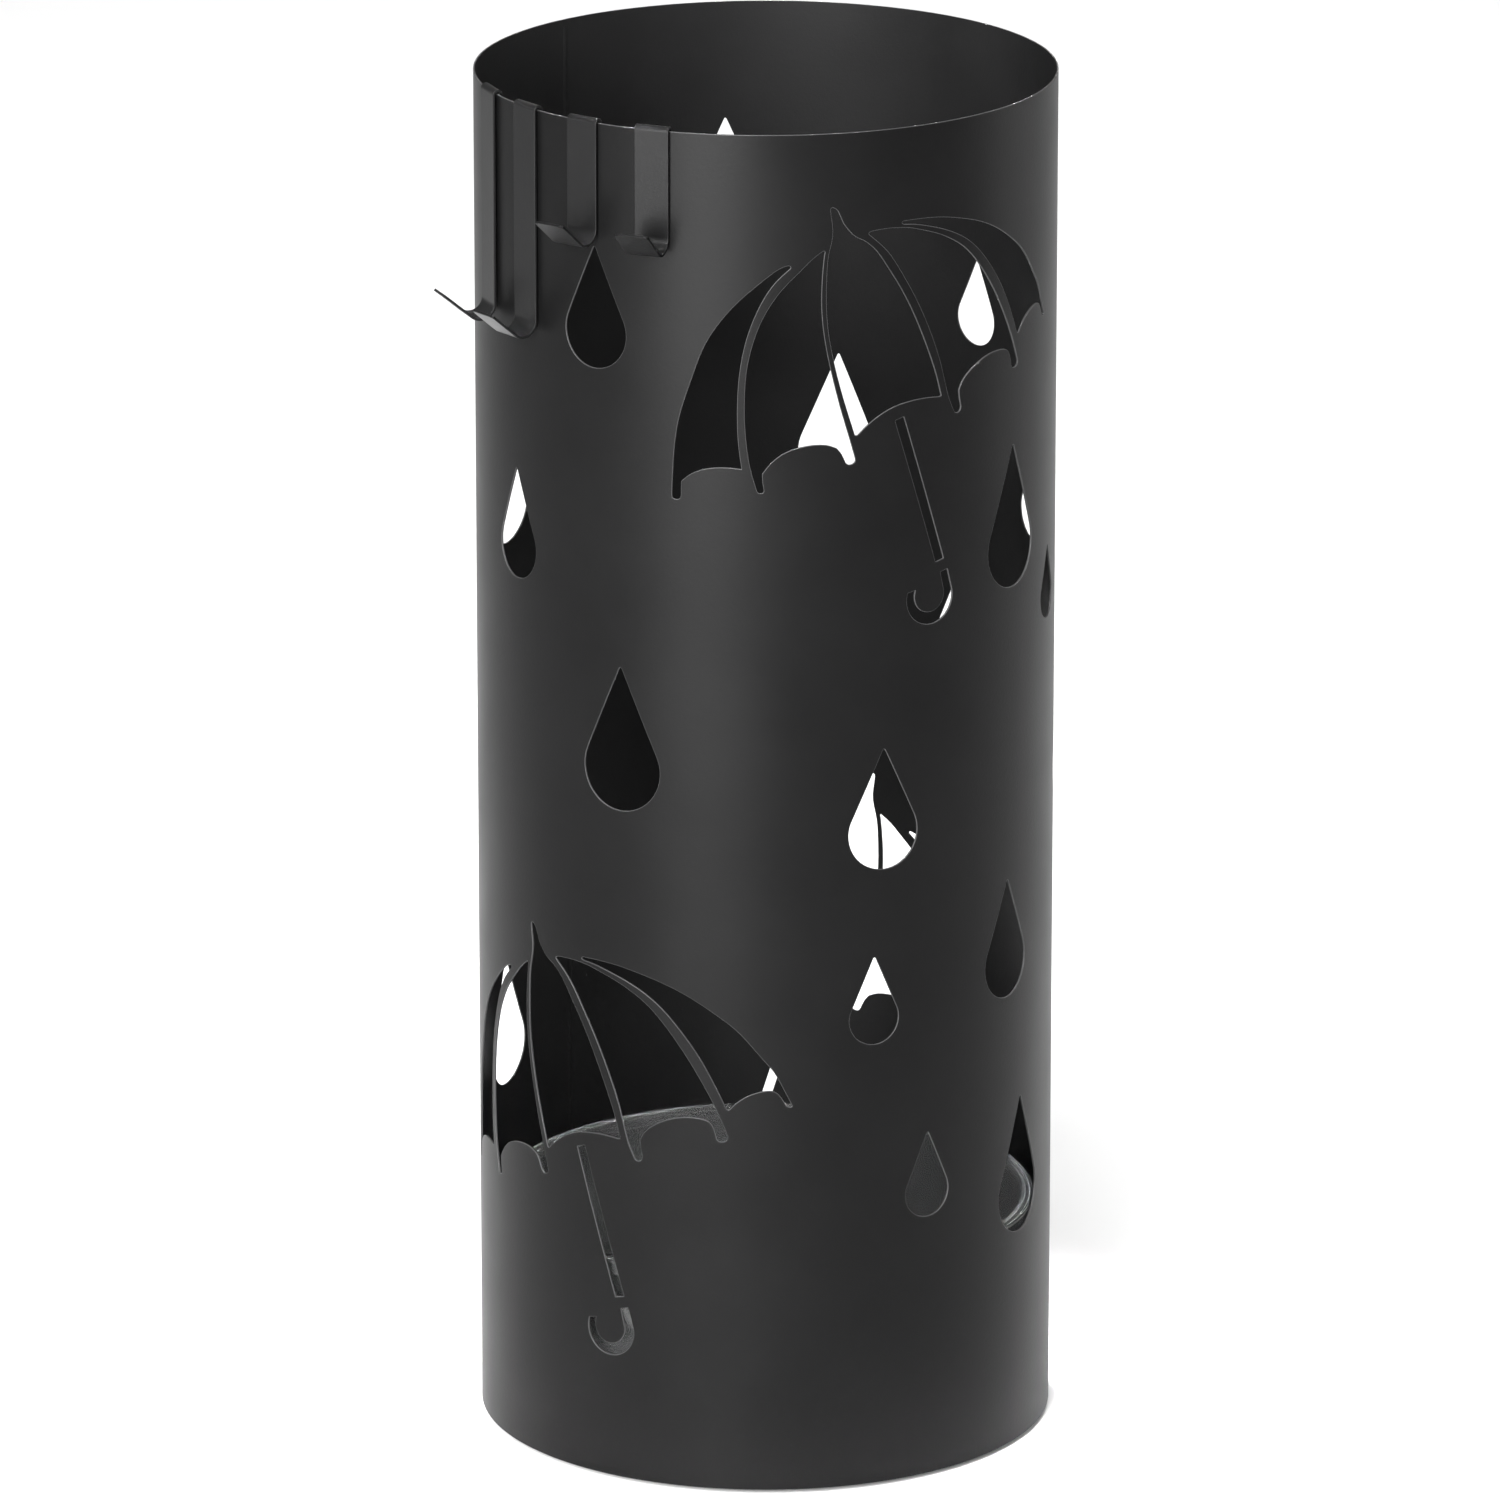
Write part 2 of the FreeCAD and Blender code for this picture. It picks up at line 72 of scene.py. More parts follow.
CANOPY = [
    # left outer panel
    [
        [(-14.81, -18.93), (-17.35, -19.79), (-21.67, -22.87), (-27.31, -27.62),
         (-32.96, -33.05), (-37.70, -38.84), (-42.20, -45.97), (-45.48, -54.00),
         (-48.31, -62.22), (-50.86, -70.44), (-52.34, -78.61), (-53.04, -86.70),
         (-53.53, -96.79)],
        [(-53.53, -96.79), (-53.23, -98.57), (-51.94, -98.95), (-50.75, -98.46),
         (-50.45, -96.52)],
        [(-50.45, -96.52), (-50.36, -92.70)],
        [(-50.36, -92.70), (-47.51, -90.25), (-43.62, -88.38), (-38.82, -87.40),
         (-34.06, -87.30), (-30.09, -87.68)],
        [(-30.09, -87.68), (-31.23, -79.38), (-31.61, -71.38), (-31.52, -63.36),
         (-30.87, -55.32), (-29.36, -46.78), (-26.92, -38.72), (-23.54, -31.18),
         (-19.23, -24.68), (-14.15, -19.84)],
        [(-14.15, -19.84), (-14.15, -19.14), (-14.81, -18.93)],
    ],
    # left inner panel
    [
        [(-3.14, -14.31), (-6.58, -16.76), (-11.03, -21.11), (-16.78, -27.01),
         (-21.47, -33.68), (-24.85, -40.70), (-27.20, -48.24), (-28.51, -55.28),
         (-29.07, -63.30), (-29.06, -71.32), (-28.49, -79.32), (-27.64, -85.32),
         (-26.50, -90.31), (-25.28, -94.30)],
        [(-25.28, -94.30), (-24.81, -95.51), (-23.86, -95.80), (-22.92, -95.39),
         (-22.93, -94.09)],
        [(-22.93, -94.09), (-23.30, -91.79), (-23.40, -89.28)],
        [(-23.40, -89.28), (-21.33, -86.46), (-17.58, -83.09), (-13.34, -81.05),
         (-7.65, -79.83), (-1.92, -80.01), (1.37, -81.21)],
        [(1.37, -81.21), (2.93, -83.13), (4.30, -86.03)],
        [(4.30, -86.03), (5.19, -87.01), (6.46, -87.01), (7.55, -86.20), (7.55, -84.89)],
        [(7.55, -84.89), (5.07, -76.26), (2.91, -69.08), (0.77, -60.91), (-1.18, -52.78),
         (-2.72, -44.67), (-3.69, -36.61), (-3.89, -28.60), (-3.52, -21.60), (-2.95, -15.62)],
        [(-2.95, -15.62), (-2.76, -14.63), (-3.14, -14.31)],
    ],
    # middle panel with the tip spike
    [
        [(-0.85, -0.71), (-0.46, -3.73), (-0.07, -6.76), (-0.26, -10.76), (-1.41, -15.69),
         (-1.98, -21.68), (-2.17, -28.68), (-1.96, -36.70), (-1.19, -43.75), (0.17, -50.85),
         (2.12, -59.00), (4.28, -66.66), (6.05, -72.32), (7.34, -76.44)],
        [(7.34, -76.44), (7.84, -77.38), (8.63, -77.15)],
        [(8.63, -77.15), (12.03, -74.04), (16.91, -70.82), (22.11, -68.69), (28.03, -67.64),
         (33.60, -67.42), (38.83, -67.82)],
        [(38.83, -67.82), (39.54, -67.54), (39.30, -66.49)],
        [(39.30, -66.49), (37.63, -60.47), (34.72, -52.47), (31.64, -44.98), (27.97, -36.94),
         (23.64, -28.86), (18.90, -21.31), (14.27, -14.83), (10.53, -11.69)],
        [(10.53, -11.69), (7.25, -9.93), (4.99, -7.57), (3.13, -4.75), (1.47, -1.04),
         (0.31, -0.08)],
        [(0.31, -0.08), (-0.47, 0.07), (-0.85, -0.71)],
    ],
    # right inner panel
    [
        [(12.80, -8.86), (17.36, -8.44), (21.71, -8.47), (26.57, -9.01), (31.89, -10.44),
         (38.26, -12.57), (44.38, -15.55), (49.71, -19.09), (55.13, -24.42), (60.10, -30.59),
         (64.55, -36.99), (68.29, -43.06), (71.56, -48.86), (74.59, -54.85), (76.53, -59.31),
         (77.93, -62.78)],
        [(77.93, -62.78), (77.61, -64.16), (76.00, -64.81), (74.38, -64.43), (73.84, -63.21)],
        [(73.84, -63.21), (73.30, -60.96), (71.78, -58.32), (68.95, -57.15), (65.00, -56.92),
         (60.56, -57.48), (56.06, -59.03), (51.47, -61.58), (48.55, -64.30), (47.13, -66.92)],
        [(47.13, -66.92), (47.49, -70.07), (48.08, -72.50)],
        [(48.08, -72.50), (47.61, -73.95), (46.42, -74.48), (45.35, -74.08)],
        [(45.35, -74.08), (43.43, -70.17), (41.73, -65.09), (39.76, -57.65), (36.76, -49.04),
         (32.93, -40.04), (28.59, -31.42), (23.82, -23.27), (18.83, -15.91), (12.80, -10.24)],
        [(12.80, -10.24), (12.18, -9.47), (12.80, -8.86)],
    ],
    # right outer panel
    [
        [(24.79, -6.53), (29.26, -6.50), (37.01, -6.84), (46.76, -8.56), (56.04, -11.19),
         (64.98, -15.05), (73.70, -20.35), (81.76, -26.61), (89.23, -35.18), (92.65, -39.19),
         (95.10, -43.11), (97.25, -47.50), (99.18, -51.22)],
        [(99.18, -51.22), (99.39, -52.14), (98.11, -52.32), (97.25, -51.60)],
        [(97.25, -51.60), (95.75, -48.94), (94.04, -47.19), (91.69, -46.59), (86.58, -47.61),
         (81.78, -50.21), (78.89, -52.93)],
        [(78.89, -52.93), (78.03, -53.53), (77.28, -53.00)],
        [(77.28, -53.00), (75.66, -49.43), (73.18, -44.43), (69.92, -38.38), (66.09, -32.40),
         (61.11, -26.03), (55.47, -20.04), (49.12, -15.29), (41.96, -11.82), (34.47, -9.38),
         (28.59, -8.01), (24.92, -7.65)],
        [(24.92, -7.65), (24.09, -7.01), (24.79, -6.53)],
    ],
]
STICK = [(21.8, -73.7), (25.0, -72.7), (40.9, -123.3), (37.6, -124.1)]
CROOK_OUTER = (35.5, -135.9, 9.1)
CROOK_INNER = (35.2, -134.95, 5.95)
CROOK_LEG = [(39.6, -127.9), (42.5, -127.1)]
CROOK_END = 163.0


# ---------------------------------------------------------------------------
# small 2-D tools
# ---------------------------------------------------------------------------
def natural_spline(pts, step):
    """Points every `step` along a natural cubic through pts (centripetal parameter)."""
    p = np.array(pts, float)
    if len(p) == 2:
        n = max(2, int(np.hypot(*(p[1] - p[0])) / step) + 1)
        s = np.linspace(0, 1, n)[:, None]
        return p[0] * (1 - s) + p[1] * s
    d = np.sqrt(np.hypot(*np.diff(p, axis=0).T))
    t = np.concatenate([[0], np.cumsum(d)])
    n = len(t)
    h = np.diff(t)
    A = np.zeros((n, n))
    B = np.zeros((n, 2))
    A[0, 0] = A[-1, -1] = 1
    for i in range(1, n - 1):
        A[i, i - 1], A[i, i], A[i, i + 1] = h[i - 1], 2 * (h[i - 1] + h[i]), h[i]
        B[i] = 6 * ((p[i + 1] - p[i]) / h[i] - (p[i] - p[i - 1]) / h[i - 1])
    M = np.linalg.solve(A, B)
    out = []
    for i in range(n - 1):
        m = max(2, int(np.hypot(*(p[i + 1] - p[i])) / step) + 1)
        for s in np.linspace(0, 1, m)[:-1]:
            x = t[i] + s * h[i]
            a, b = t[i + 1] - x, x - t[i]
            out.append((M[i] * a ** 3 + M[i + 1] * b ** 3) / (6 * h[i])
                       + (p[i] / h[i] - M[i] * h[i] / 6) * a + (p[i + 1] / h[i] - M[i + 1] * h[i] / 6) * b)
    out.append(p[-1])
    return np.array(out)


def arc_points(cx, cz, r, a0, a1, n):
    return [(cx + r * math.cos(math.radians(a0 + (a1 - a0) * k / n)),
             cz + r * math.sin(math.radians(a0 + (a1 - a0) * k / n))) for k in range(n + 1)]


def resample(p, step):
    q = np.vstack([p, p[:1]])
    s = np.concatenate([[0], np.cumsum(np.hypot(*np.diff(q, axis=0).T))])
    n = max(12, int(round(s[-1] / step)))
    x = np.arange(n) * s[-1] / n
    return np.stack([np.interp(x, s, q[:, 0]), np.interp(x, s, q[:, 1])], 1)


def soften(p, k):
    """Round the corners of a dense closed loop a little."""
    out = np.zeros_like(p)
    w = 0
    for i in range(-k, k + 1):
        c = (k + 1 - abs(i))
        out += np.roll(p, i, axis=0) * c
        w += c
    return out / w


def area(p):
    x, y = p[:, 0], p[:, 1]
    return 0.5 * float(np.sum(x * np.roll(y, -1) - np.roll(x, -1) * y))


def loop_normals(p):
    """Unit normals to the right of a counter-clockwise loop: away from what it encloses."""
    d = np.roll(p, -1, axis=0) - np.roll(p, 1, axis=0)
    n = np.stack([d[:, 1], -d[:, 0]], 1)
    return n / np.maximum(np.hypot(*n.T)[:, None], 1e-9)


def thin_out(p, turn, longest):
    """Indices to keep: a new one after `turn` degrees or `longest` millimetres."""
    d = np.roll(p, -1, axis=0) - p
    a = np.unwrap(np.arctan2(d[:, 1], d[:, 0]))
    step = np.hypot(*d.T)
    keep, last_a, run = [0], a[0], 0.0
    for i in range(1, len(p)):
        run += step[i - 1]
        if abs(a[i] - last_a) > math.radians(turn) or run > longest:
            keep.append(i)
            last_a, run = a[i], 0.0
    return np.array(keep)


def inside(poly, pts):
    x, y = pts[:, 0], pts[:, 1]
    res = np.zeros(len(pts), bool)
    x0, y0 = poly[:, 0], poly[:, 1]
    x1, y1 = np.roll(x0, -1), np.roll(y0, -1)
    for a, b, c, d in zip(x0, y0, x1, y1):
        if b == d:
            continue
        m = ((b > y) != (d > y)) & (x < (c - a) * (y - b) / (d - b) + a)
        res ^= m
    return res


# ---------------------------------------------------------------------------
# the pattern as closed loops in (arc length, height)
# ---------------------------------------------------------------------------
def pattern_loops():
    loops = []
    step = 0.12
    for u, zt, length, r in DROPS:
        zc, ztp = zt - length + r, zt - DROP_TIP
        half = math.degrees(math.asin((r - DROP_TIP) / (ztp - zc)))
        low = arc_points(u, zc, r, half, -180 - half, 60)
        top = arc_points(u, ztp, DROP_TIP, 180 - half, half, 10)
        loops.append(np.array(low + top))
    for u, z in UMBRELLAS:
        for panel in CANOPY:
            pts = np.concatenate([natural_spline([(u + a, z + b) for a, b in e], step)[:-1] for e in panel])
            loops.append(pts)
        loops.append(np.array([(u + a, z + b) for a, b in STICK]))
        ox, oz, orad = CROOK_OUTER
        ix, iz, irad = CROOK_INNER
        outer = arc_points(u + ox, z + oz, orad, 8.0, CROOK_END - 360.0, 70)
        inner = arc_points(u + ix, z + iz, irad, CROOK_END - 366.0, 8.0, 70)
        leg = [(u + a, z + b) for a, b in CROOK_LEG]
        loops.append(np.array([leg[1]] + outer + inner + [leg[0]]))
    done = []
    for p in loops:
        p = soften(resample(p, 0.1), 3)
        if area(p) < 0:
            p = p[::-1]
        done.append(p)
    return done


# ---------------------------------------------------------------------------
# thick sheet: a triangulated outline with rounded edges, laid on any surface
# ---------------------------------------------------------------------------
def thick_sheet(name, loops, holes, inner_pts, thick, bevel, place, merge_u=None, side_rows=(), turn=7.0, longest=2.2):
    """loops: outer outline(s) counter-clockwise, or None where merge_u wraps the sheet round.
    holes: dense counter-clockwise loops. place(uv, depth) -> (positions, outward, along_u, along_v)."""
    pts, edges, rims = [], [], []

    def add_loop(p, away):
        keep = thin_out(p, turn, longest)
        q, n = p[keep], away[keep]
        base = len(pts)
        for a, b in zip(q, n):
            pts.append(a - b * bevel)
        ids = list(range(base, base + len(q)))
        for i in range(len(ids)):
            edges.append((ids[i], ids[(i + 1) % len(ids)]))
        rims.append((ids, n))
        return q - n * bevel

    cut = []
    for h in holes:
        cut.append(add_loop(h, -loop_normals(h)))       # the empty side is inside the hole
    for o in loops or []:
        add_loop(o, loop_normals(o))
    straight = []
    if merge_u is not None:
        u0, u1, v0, v1, nu = merge_u
        us = np.linspace(u0, u1, nu + 1)
        for v, sgn in ((v0 + bevel, -1), (v1 - bevel, 1)):
            base = len(pts)
            for a in us:
                pts.append(np.array([a, v]))
            for i in range(nu):
                edges.append((base + i, base + i + 1))
            straight.append((base, nu, sgn))
        vs = side_rows
        sides = []
        for a in (u0, u1):
            base = len(pts)
            for v in vs:
                pts.append(np.array([a, v]))
            sides.append((base, len(vs)))
            chain = [straight[0][0] + (0 if a == u0 else nu)] + list(range(base, base + len(vs))) \
                + [straight[1][0] + (0 if a == u0 else nu)]
            for i in range(len(chain) - 1):
                edges.append((chain[i], chain[i + 1]))
    fixed = np.array(pts)
    g = np.array(inner_pts, float)
    ok = np.ones(len(g), bool)
    for h in cut:
        bb0, bb1 = h.min(0) - 1.5, h.max(0) + 1.5
        m = ok & (g > bb0).all(1) & (g < bb1).all(1)
        idx = np.where(m)[0]
        if len(idx) == 0:
            continue
        hit = inside(h, g[idx])
        d = np.min(np.hypot(g[idx][:, None, 0] - h[None, :, 0], g[idx][:, None, 1] - h[None, :, 1]), axis=1)
        ok[idx[hit | (d < 1.1)]] = False
    g = g[ok]
    allp = np.vstack([fixed, g])
    res = delaunay_2d_cdt([Vector((a, b)) for a, b in allp], edges, [], 1 if loops else 0, 1e-7, True)
    verts, faces, src = res[0], res[2], res[3]
    vert = np.array([(v.x, v.y) for v in verts])
    back = {}
    for i, s in enumerate(src):
        for k in s:
            back[k] = i
    tri = np.array([f for f in faces if len(f) == 3], int)
    cen = vert[tri].mean(1)
    keep = np.ones(len(tri), bool)
    for h in cut:
        m = keep & (cen > h.min(0)).all(1) & (cen < h.max(0)).all(1)
        idx = np.where(m)[0]
        if len(idx):
            keep[idx[inside(h, cen[idx])]] = False
    for o in loops or []:
        keep &= inside(o, cen)
    tri = tri[keep]
    # make every triangle counter-clockwise seen from outside (+normal side)
    a, b, c = vert[tri[:, 0]], vert[tri[:, 1]], vert[tri[:, 2]]
    flip = ((b[:, 0] - a[:, 0]) * (c[:, 1] - a[:, 1]) - (b[:, 1] - a[:, 1]) * (c[:, 0] - a[:, 0])) < 0
    tri[flip] = tri[flip][:, ::-1]
    # join the two sides of a sheet that closes on itself
    same = {}
    if merge_u is not None:
        for (b0, n0), (b1, n1) in [sides]:
            for i in range(n0):
                same[back[b1 + i]] = back[b0 + i]
        for base, n, _ in straight:
            same[back[base + n]] = back[base]
    P, N, F = [], [], []
    used = sorted(set(same.get(i, i) for i in tri.ravel()))
    num = {v: i for i, v in enumerate(used)}
    uv = vert[used]
    p_out, n_out, eu, ev = place(uv, 0.0)
    p_in, n_in, _, _ = place(uv, thick)
    m = len(used)
    P = [*p_out, *p_in]
    N = [*n_out, *(-n_in)]
    for t3 in tri:
        q = [num[same.get(int(i), int(i))] for i in t3]
        if len(set(q)) < 3:
            continue
        F.append(tuple(q))
        F.append((q[2] + m, q[1] + m, q[0] + m))
    faces_main = len(F)
    c45 = math.cos(math.radians(45))
    prof = [(-bevel * (1 - c45), bevel * (1 - c45), c45, c45), (0, bevel, 1, 0), (0, thick - bevel, 1, 0),
            (-bevel * (1 - c45), thick - bevel * (1 - c45), c45, -c45)]
    all_rims = []
    for ids, n in rims:
        all_rims.append(([back[i] for i in ids], np.array(n), True))
    for base, n, sgn in straight:
        all_rims.append(([back[base + i] for i in range(n)], np.array([(0.0, sgn)] * n), True))
    for ids, n, closed in all_rims:
        base2 = np.array([vert[i] for i in ids]) + n * bevel
        rows = [[num[same.get(i, i)] for i in ids]]
        for off, dep, wn, wo in prof:
            pos, outw, eu, ev = place(base2 + n * off, dep)
            nn = n[:, :1] * eu + n[:, 1:] * ev
            nn = nn * wn + outw * wo
            start = len(P)
            P += list(pos)
            N += list(nn)
            rows.append(list(range(start, start + len(ids))))
        rows.append([num[same.get(i, i)] + m for i in ids])
        k = len(ids)
        # direction of travel: keep the faces' outward side on the empty side
        a2, b2 = vert[ids[0]], vert[ids[1]]
        d = b2 - a2
        right = np.array([d[1], -d[0]])
        fwd = float(right @ n[0]) > 0
        for r0, r1 in zip(rows[:-1], rows[1:]):
            for i in range(k):
                j = (i + 1) % k
                q = (r0[i], r1[i], r1[j], r0[j])
                F.append(q if fwd else q[::-1])
    P = np.array(P) * MM
    N = np.array(N)
    N /= np.maximum(np.linalg.norm(N, axis=1)[:, None], 1e-9)
    mesh = bpy.data.meshes.new(name)
    mesh.from_pydata([tuple(x) for x in P], [], F)
    mesh.validate(verbose=False)
    mesh.update()
    mesh.polygons.foreach_set("use_smooth", [True] * len(mesh.polygons))
    # rounded edges and cut faces take slot 1: the lighter edge coat, painted highlight
    mats = np.zeros(len(mesh.polygons), np.int32)
    mats[faces_main:] = 1
    mesh.polygons.foreach_set("material_index", mats)
    mesh.normals_split_custom_set_from_vertices([tuple(x) for x in N])
    obj = bpy.data.objects.new(name, mesh)
    bpy.context.scene.collection.objects.link(obj)
    return obj


# ---------------------------------------------------------------------------
# lathe: closed (r, z) profile with rounded corners, turned about Z
# ---------------------------------------------------------------------------
def round_profile(corners, seg=6):
    """corners: (r, z, radius), closed or open list. Returns points and unit normals of the path."""
    pts, nor = [], []
    n = len(corners)
    for i in range(n):
        p = np.array(corners[i][:2], float)
        rad = corners[i][2]
        a = np.array(corners[i - 1][:2], float) - p
        b = np.array(corners[(i + 1) % n][:2], float) - p
        la, lb = np.hypot(*a), np.hypot(*b)
        a, b = a / la, b / lb
        cosang = float(np.clip(a @ b, -1, 1))
        half = math.acos(cosang) / 2
        cross = a[0] * b[1] - a[1] * b[0]
        na = np.array([-a[1], a[0]])               # normal of the incoming side (path runs -a)
        nb = np.array([b[1], -b[0]])
        if rad <= 0:
            pts.append(p); nor.append(na)
            pts.append(p.copy()); nor.append(nb)
            continue
        cut = min(rad / math.tan(half), 0.49 * la, 0.49 * lb)
        r = cut * math.tan(half)
        bis = (a + b) / max(np.hypot(*(a + b)), 1e-9)
        c = p + bis * (r / math.sin(half))
        s, e = p + a * cut - c, p + b * cut - c
        a0, a1 = math.atan2(s[1], s[0]), math.atan2(e[1], e[0])
        da = (a1 - a0 + math.pi) % (2 * math.pi) - math.pi
        for k in range(seg + 1):
            t = a0 + da * k / seg
            d = np.array([math.cos(t), math.sin(t)])
            pts.append(c + r * d)
            nor.append(d if cross < 0 else -d)
    return np.array(pts), np.array(nor)


def lathe(name, pts, nor, angles, dent=None, axis_closed=True):
    """Turn a closed profile; dent(P, k) may move points along their normal."""
    na, nq = len(angles), len(pts)
    ca, sa = np.cos(angles), np.sin(angles)
    P = np.zeros((na, nq, 3))
    N = np.zeros((na, nq, 3))
    for i in range(na):
        P[i, :, 0], P[i, :, 1], P[i, :, 2] = pts[:, 0] * ca[i], pts[:, 0] * sa[i], pts[:, 1]
        N[i, :, 0], N[i, :, 1], N[i, :, 2] = nor[:, 0] * ca[i], nor[:, 0] * sa[i], nor[:, 1]
    if dent is not None:
        P, N = dent(P, N, angles)
    V = P.reshape(-1, 3)
    NN = N.reshape(-1, 3)
    F = []
    for i in range(na):
        j = (i + 1) % na
        for k in range(nq):
            m = (k + 1) % nq
            if np.allclose(pts[k], pts[m], atol=1e-9):
                continue
            if pts[k][0] < 1e-6 and pts[m][0] < 1e-6:
                continue
            q = [i * nq + k, i * nq + m, j * nq + m, j * nq + k]
            if pts[k][0] < 1e-6:
                q = [i * nq + k, i * nq + m, j * nq + m]
            elif pts[m][0] < 1e-6:
                q = [i * nq + k, i * nq + m, j * nq + k]
            F.append(tuple(q[::-1]))
    return V, NN, F


def build(name, V, NN, F, weld=1e-5):
    """Mesh from arrays in millimetres: coincident points welded, normals kept per corner."""
    key = {}
    idx = np.zeros(len(V), int)
    W = []
    for i, p in enumerate(np.round(V / weld).astype(np.int64)):
        t = tuple(p)
        if t not in key:
            key[t] = len(W)
            W.append(V[i])
        idx[i] = key[t]
    faces, corners = [], []
    for f in F:
        g = [int(idx[i]) for i in f]
        if len(set(g)) < 3:
            continue
        if len(set(g)) < len(g):
            seen, g2, f2 = set(), [], []
            for a, b in zip(g, f):
                if a not in seen:
                    seen.add(a); g2.append(a); f2.append(b)
            g, f = g2, f2
        faces.append(tuple(g))
        a, b, c = W[g[0]], W[g[1]], W[g[2]]
        fn = np.cross(b - a, c - b)
        if len(g) > 3:
            fn = fn + np.cross(c - b, W[g[3]] - c)
        fn = fn / max(np.linalg.norm(fn), 1e-12)
        for i in f:
            v = np.array(NN[i], float)
            v = v / max(np.linalg.norm(v), 1e-9)
            corners.append(v if v @ fn > 0.25 else fn)
    mesh = bpy.data.meshes.new(name)
    mesh.from_pydata([tuple(np.array(w) * MM) for w in W], [], faces)
    mesh.update()
    mesh.polygons.foreach_set("use_smooth", [True] * len(mesh.polygons))
    c = np.array(corners)
    c /= np.maximum(np.linalg.norm(c, axis=1)[:, None], 1e-9)
    mesh.normals_split_custom_set([tuple(x) for x in c])
    obj = bpy.data.objects.new(name, mesh)
    bpy.context.scene.collection.objects.link(obj)
    return obj


def turned(name, corners, segments=192, seg=6, angles=None, dent=None):
    pts, nor = round_profile(corners, seg)
    if angles is None:
        angles = np.arange(segments) * 2 * math.pi / segments
    V, NN, F = lathe(name, pts, nor, angles, dent)
    return build(name, V, NN, F)


# ---------------------------------------------------------------------------
# materials
# ---------------------------------------------------------------------------
def new_material(name):
    m = bpy.data.materials.new(name)
    m.use_nodes = True
    nt = m.node_tree
    nt.nodes.clear()
    out = nt.nodes.new("ShaderNodeOutputMaterial")
    bsdf = nt.nodes.new("ShaderNodeBsdfPrincipled")
    nt.links.new(bsdf.outputs["BSDF"], out.inputs["Surface"])
    return m, nt, bsdf


def noise(nt, coord, scale, detail=2.0, rough=0.5):
    n = nt.nodes.new("ShaderNodeTexNoise")
    n.inputs["Scale"].default_value = scale
    n.inputs["Detail"].default_value = detail
    n.inputs["Roughness"].default_value = rough
    nt.links.new(coord, n.inputs["Vector"])
    return n


def ramp(nt, fac, stops):
    r = nt.nodes.new("ShaderNodeValToRGB")
    el = r.color_ramp.elements
    while len(el) < len(stops):
        el.new(0.5)
    for e, (pos, col) in zip(el, stops):
        e.position = pos
        e.color = (*col, 1.0) if len(col) == 3 else col
    nt.links.new(fac, r.inputs["Fac"])
    return r


def remap(nt, fac, lo_, hi_, a=0.0, b=1.0):
    m = nt.nodes.new("ShaderNodeMapRange")
    m.inputs["From Min"].default_value = a
    m.inputs["From Max"].default_value = b
    m.inputs["To Min"].default_value = lo_
    m.inputs["To Max"].default_value = hi_
    nt.links.new(fac, m.inputs["Value"])
    return m


def powder(name, dark, light, r_lo, r_hi, spec, grain=1.0):
    """Powder coat: fine orange-peel grain, faint cloudiness in colour and gloss."""
    m, nt, b = new_material(name)
    tc = nt.nodes.new("ShaderNodeTexCoord").outputs["Object"]
    cloud = noise(nt, tc, 22.0, 3.0, 0.55)
    fine = noise(nt, tc, 900.0, 2.0, 0.6)
    peel = noise(nt, tc, 2300.0, 2.0, 0.5)
    speck = noise(nt, tc, 4200.0, 1.0, 0.5)
    mix = nt.nodes.new("ShaderNodeMath")
    mix.operation = "MULTIPLY_ADD"
    mix.inputs[1].default_value = 0.55
    nt.links.new(cloud.outputs["Fac"], mix.inputs[0])
    half = nt.nodes.new("ShaderNodeMath")
    half.operation = "MULTIPLY"
    half.inputs[1].default_value = 0.45
    nt.links.new(speck.outputs["Fac"], half.inputs[0])
    nt.links.new(half.outputs[0], mix.inputs[2])
    col = ramp(nt, mix.outputs[0], [(0.32, dark), (0.68, light)])
    nt.links.new(col.outputs["Color"], b.inputs["Base Color"])
    rg = remap(nt, cloud.outputs["Fac"], r_lo, r_hi, 0.3, 0.7)
    nt.links.new(rg.outputs["Result"], b.inputs["Roughness"])
    add = nt.nodes.new("ShaderNodeMath")
    add.operation = "MULTIPLY_ADD"
    add.inputs[1].default_value = 0.6
    nt.links.new(peel.outputs["Fac"], add.inputs[0])
    nt.links.new(fine.outputs["Fac"], add.inputs[2])
    bump = nt.nodes.new("ShaderNodeBump")
    bump.inputs["Strength"].default_value = 0.22 * grain
    bump.inputs["Distance"].default_value = 0.00012
    nt.links.new(add.outputs[0], bump.inputs["Height"])
    nt.links.new(bump.outputs["Normal"], b.inputs["Normal"])
    b.inputs["Specular IOR Level"].default_value = spec
    return m


coat = powder("powder_coat_black", (0.0014, 0.0014, 0.00145), (0.0028, 0.0028, 0.00285), 0.36, 0.41, 0.088)
# cut edges and rims: the same black coat made far lighter, a painted highlight standing in for light caught along the
# edges
edge_painted_highlight_coat = powder("powder_coat_painted_edge_highlight", (0.018, 0.018, 0.0184), (0.032, 0.032, 0.0324), 0.32, 0.42, 0.25, 0.6)
# inner wall: the same black coat made lighter, painted fill light for the dim inside of the tube
inner_wall_painted_light_coat = powder("powder_coat_painted_inner_light", (0.0046, 0.0046, 0.0047), (0.0070, 0.0070, 0.0071), 0.44, 0.52, 0.10, 1.3)
coat_hook = powder("powder_coat_hook", (0.0030, 0.0030, 0.0031), (0.0048, 0.0048, 0.0049), 0.30, 0.36, 0.15)
coat_base = powder("powder_coat_base", (0.0035, 0.0035, 0.0036), (0.0055, 0.0055, 0.0056), 0.42, 0.50, 0.09)


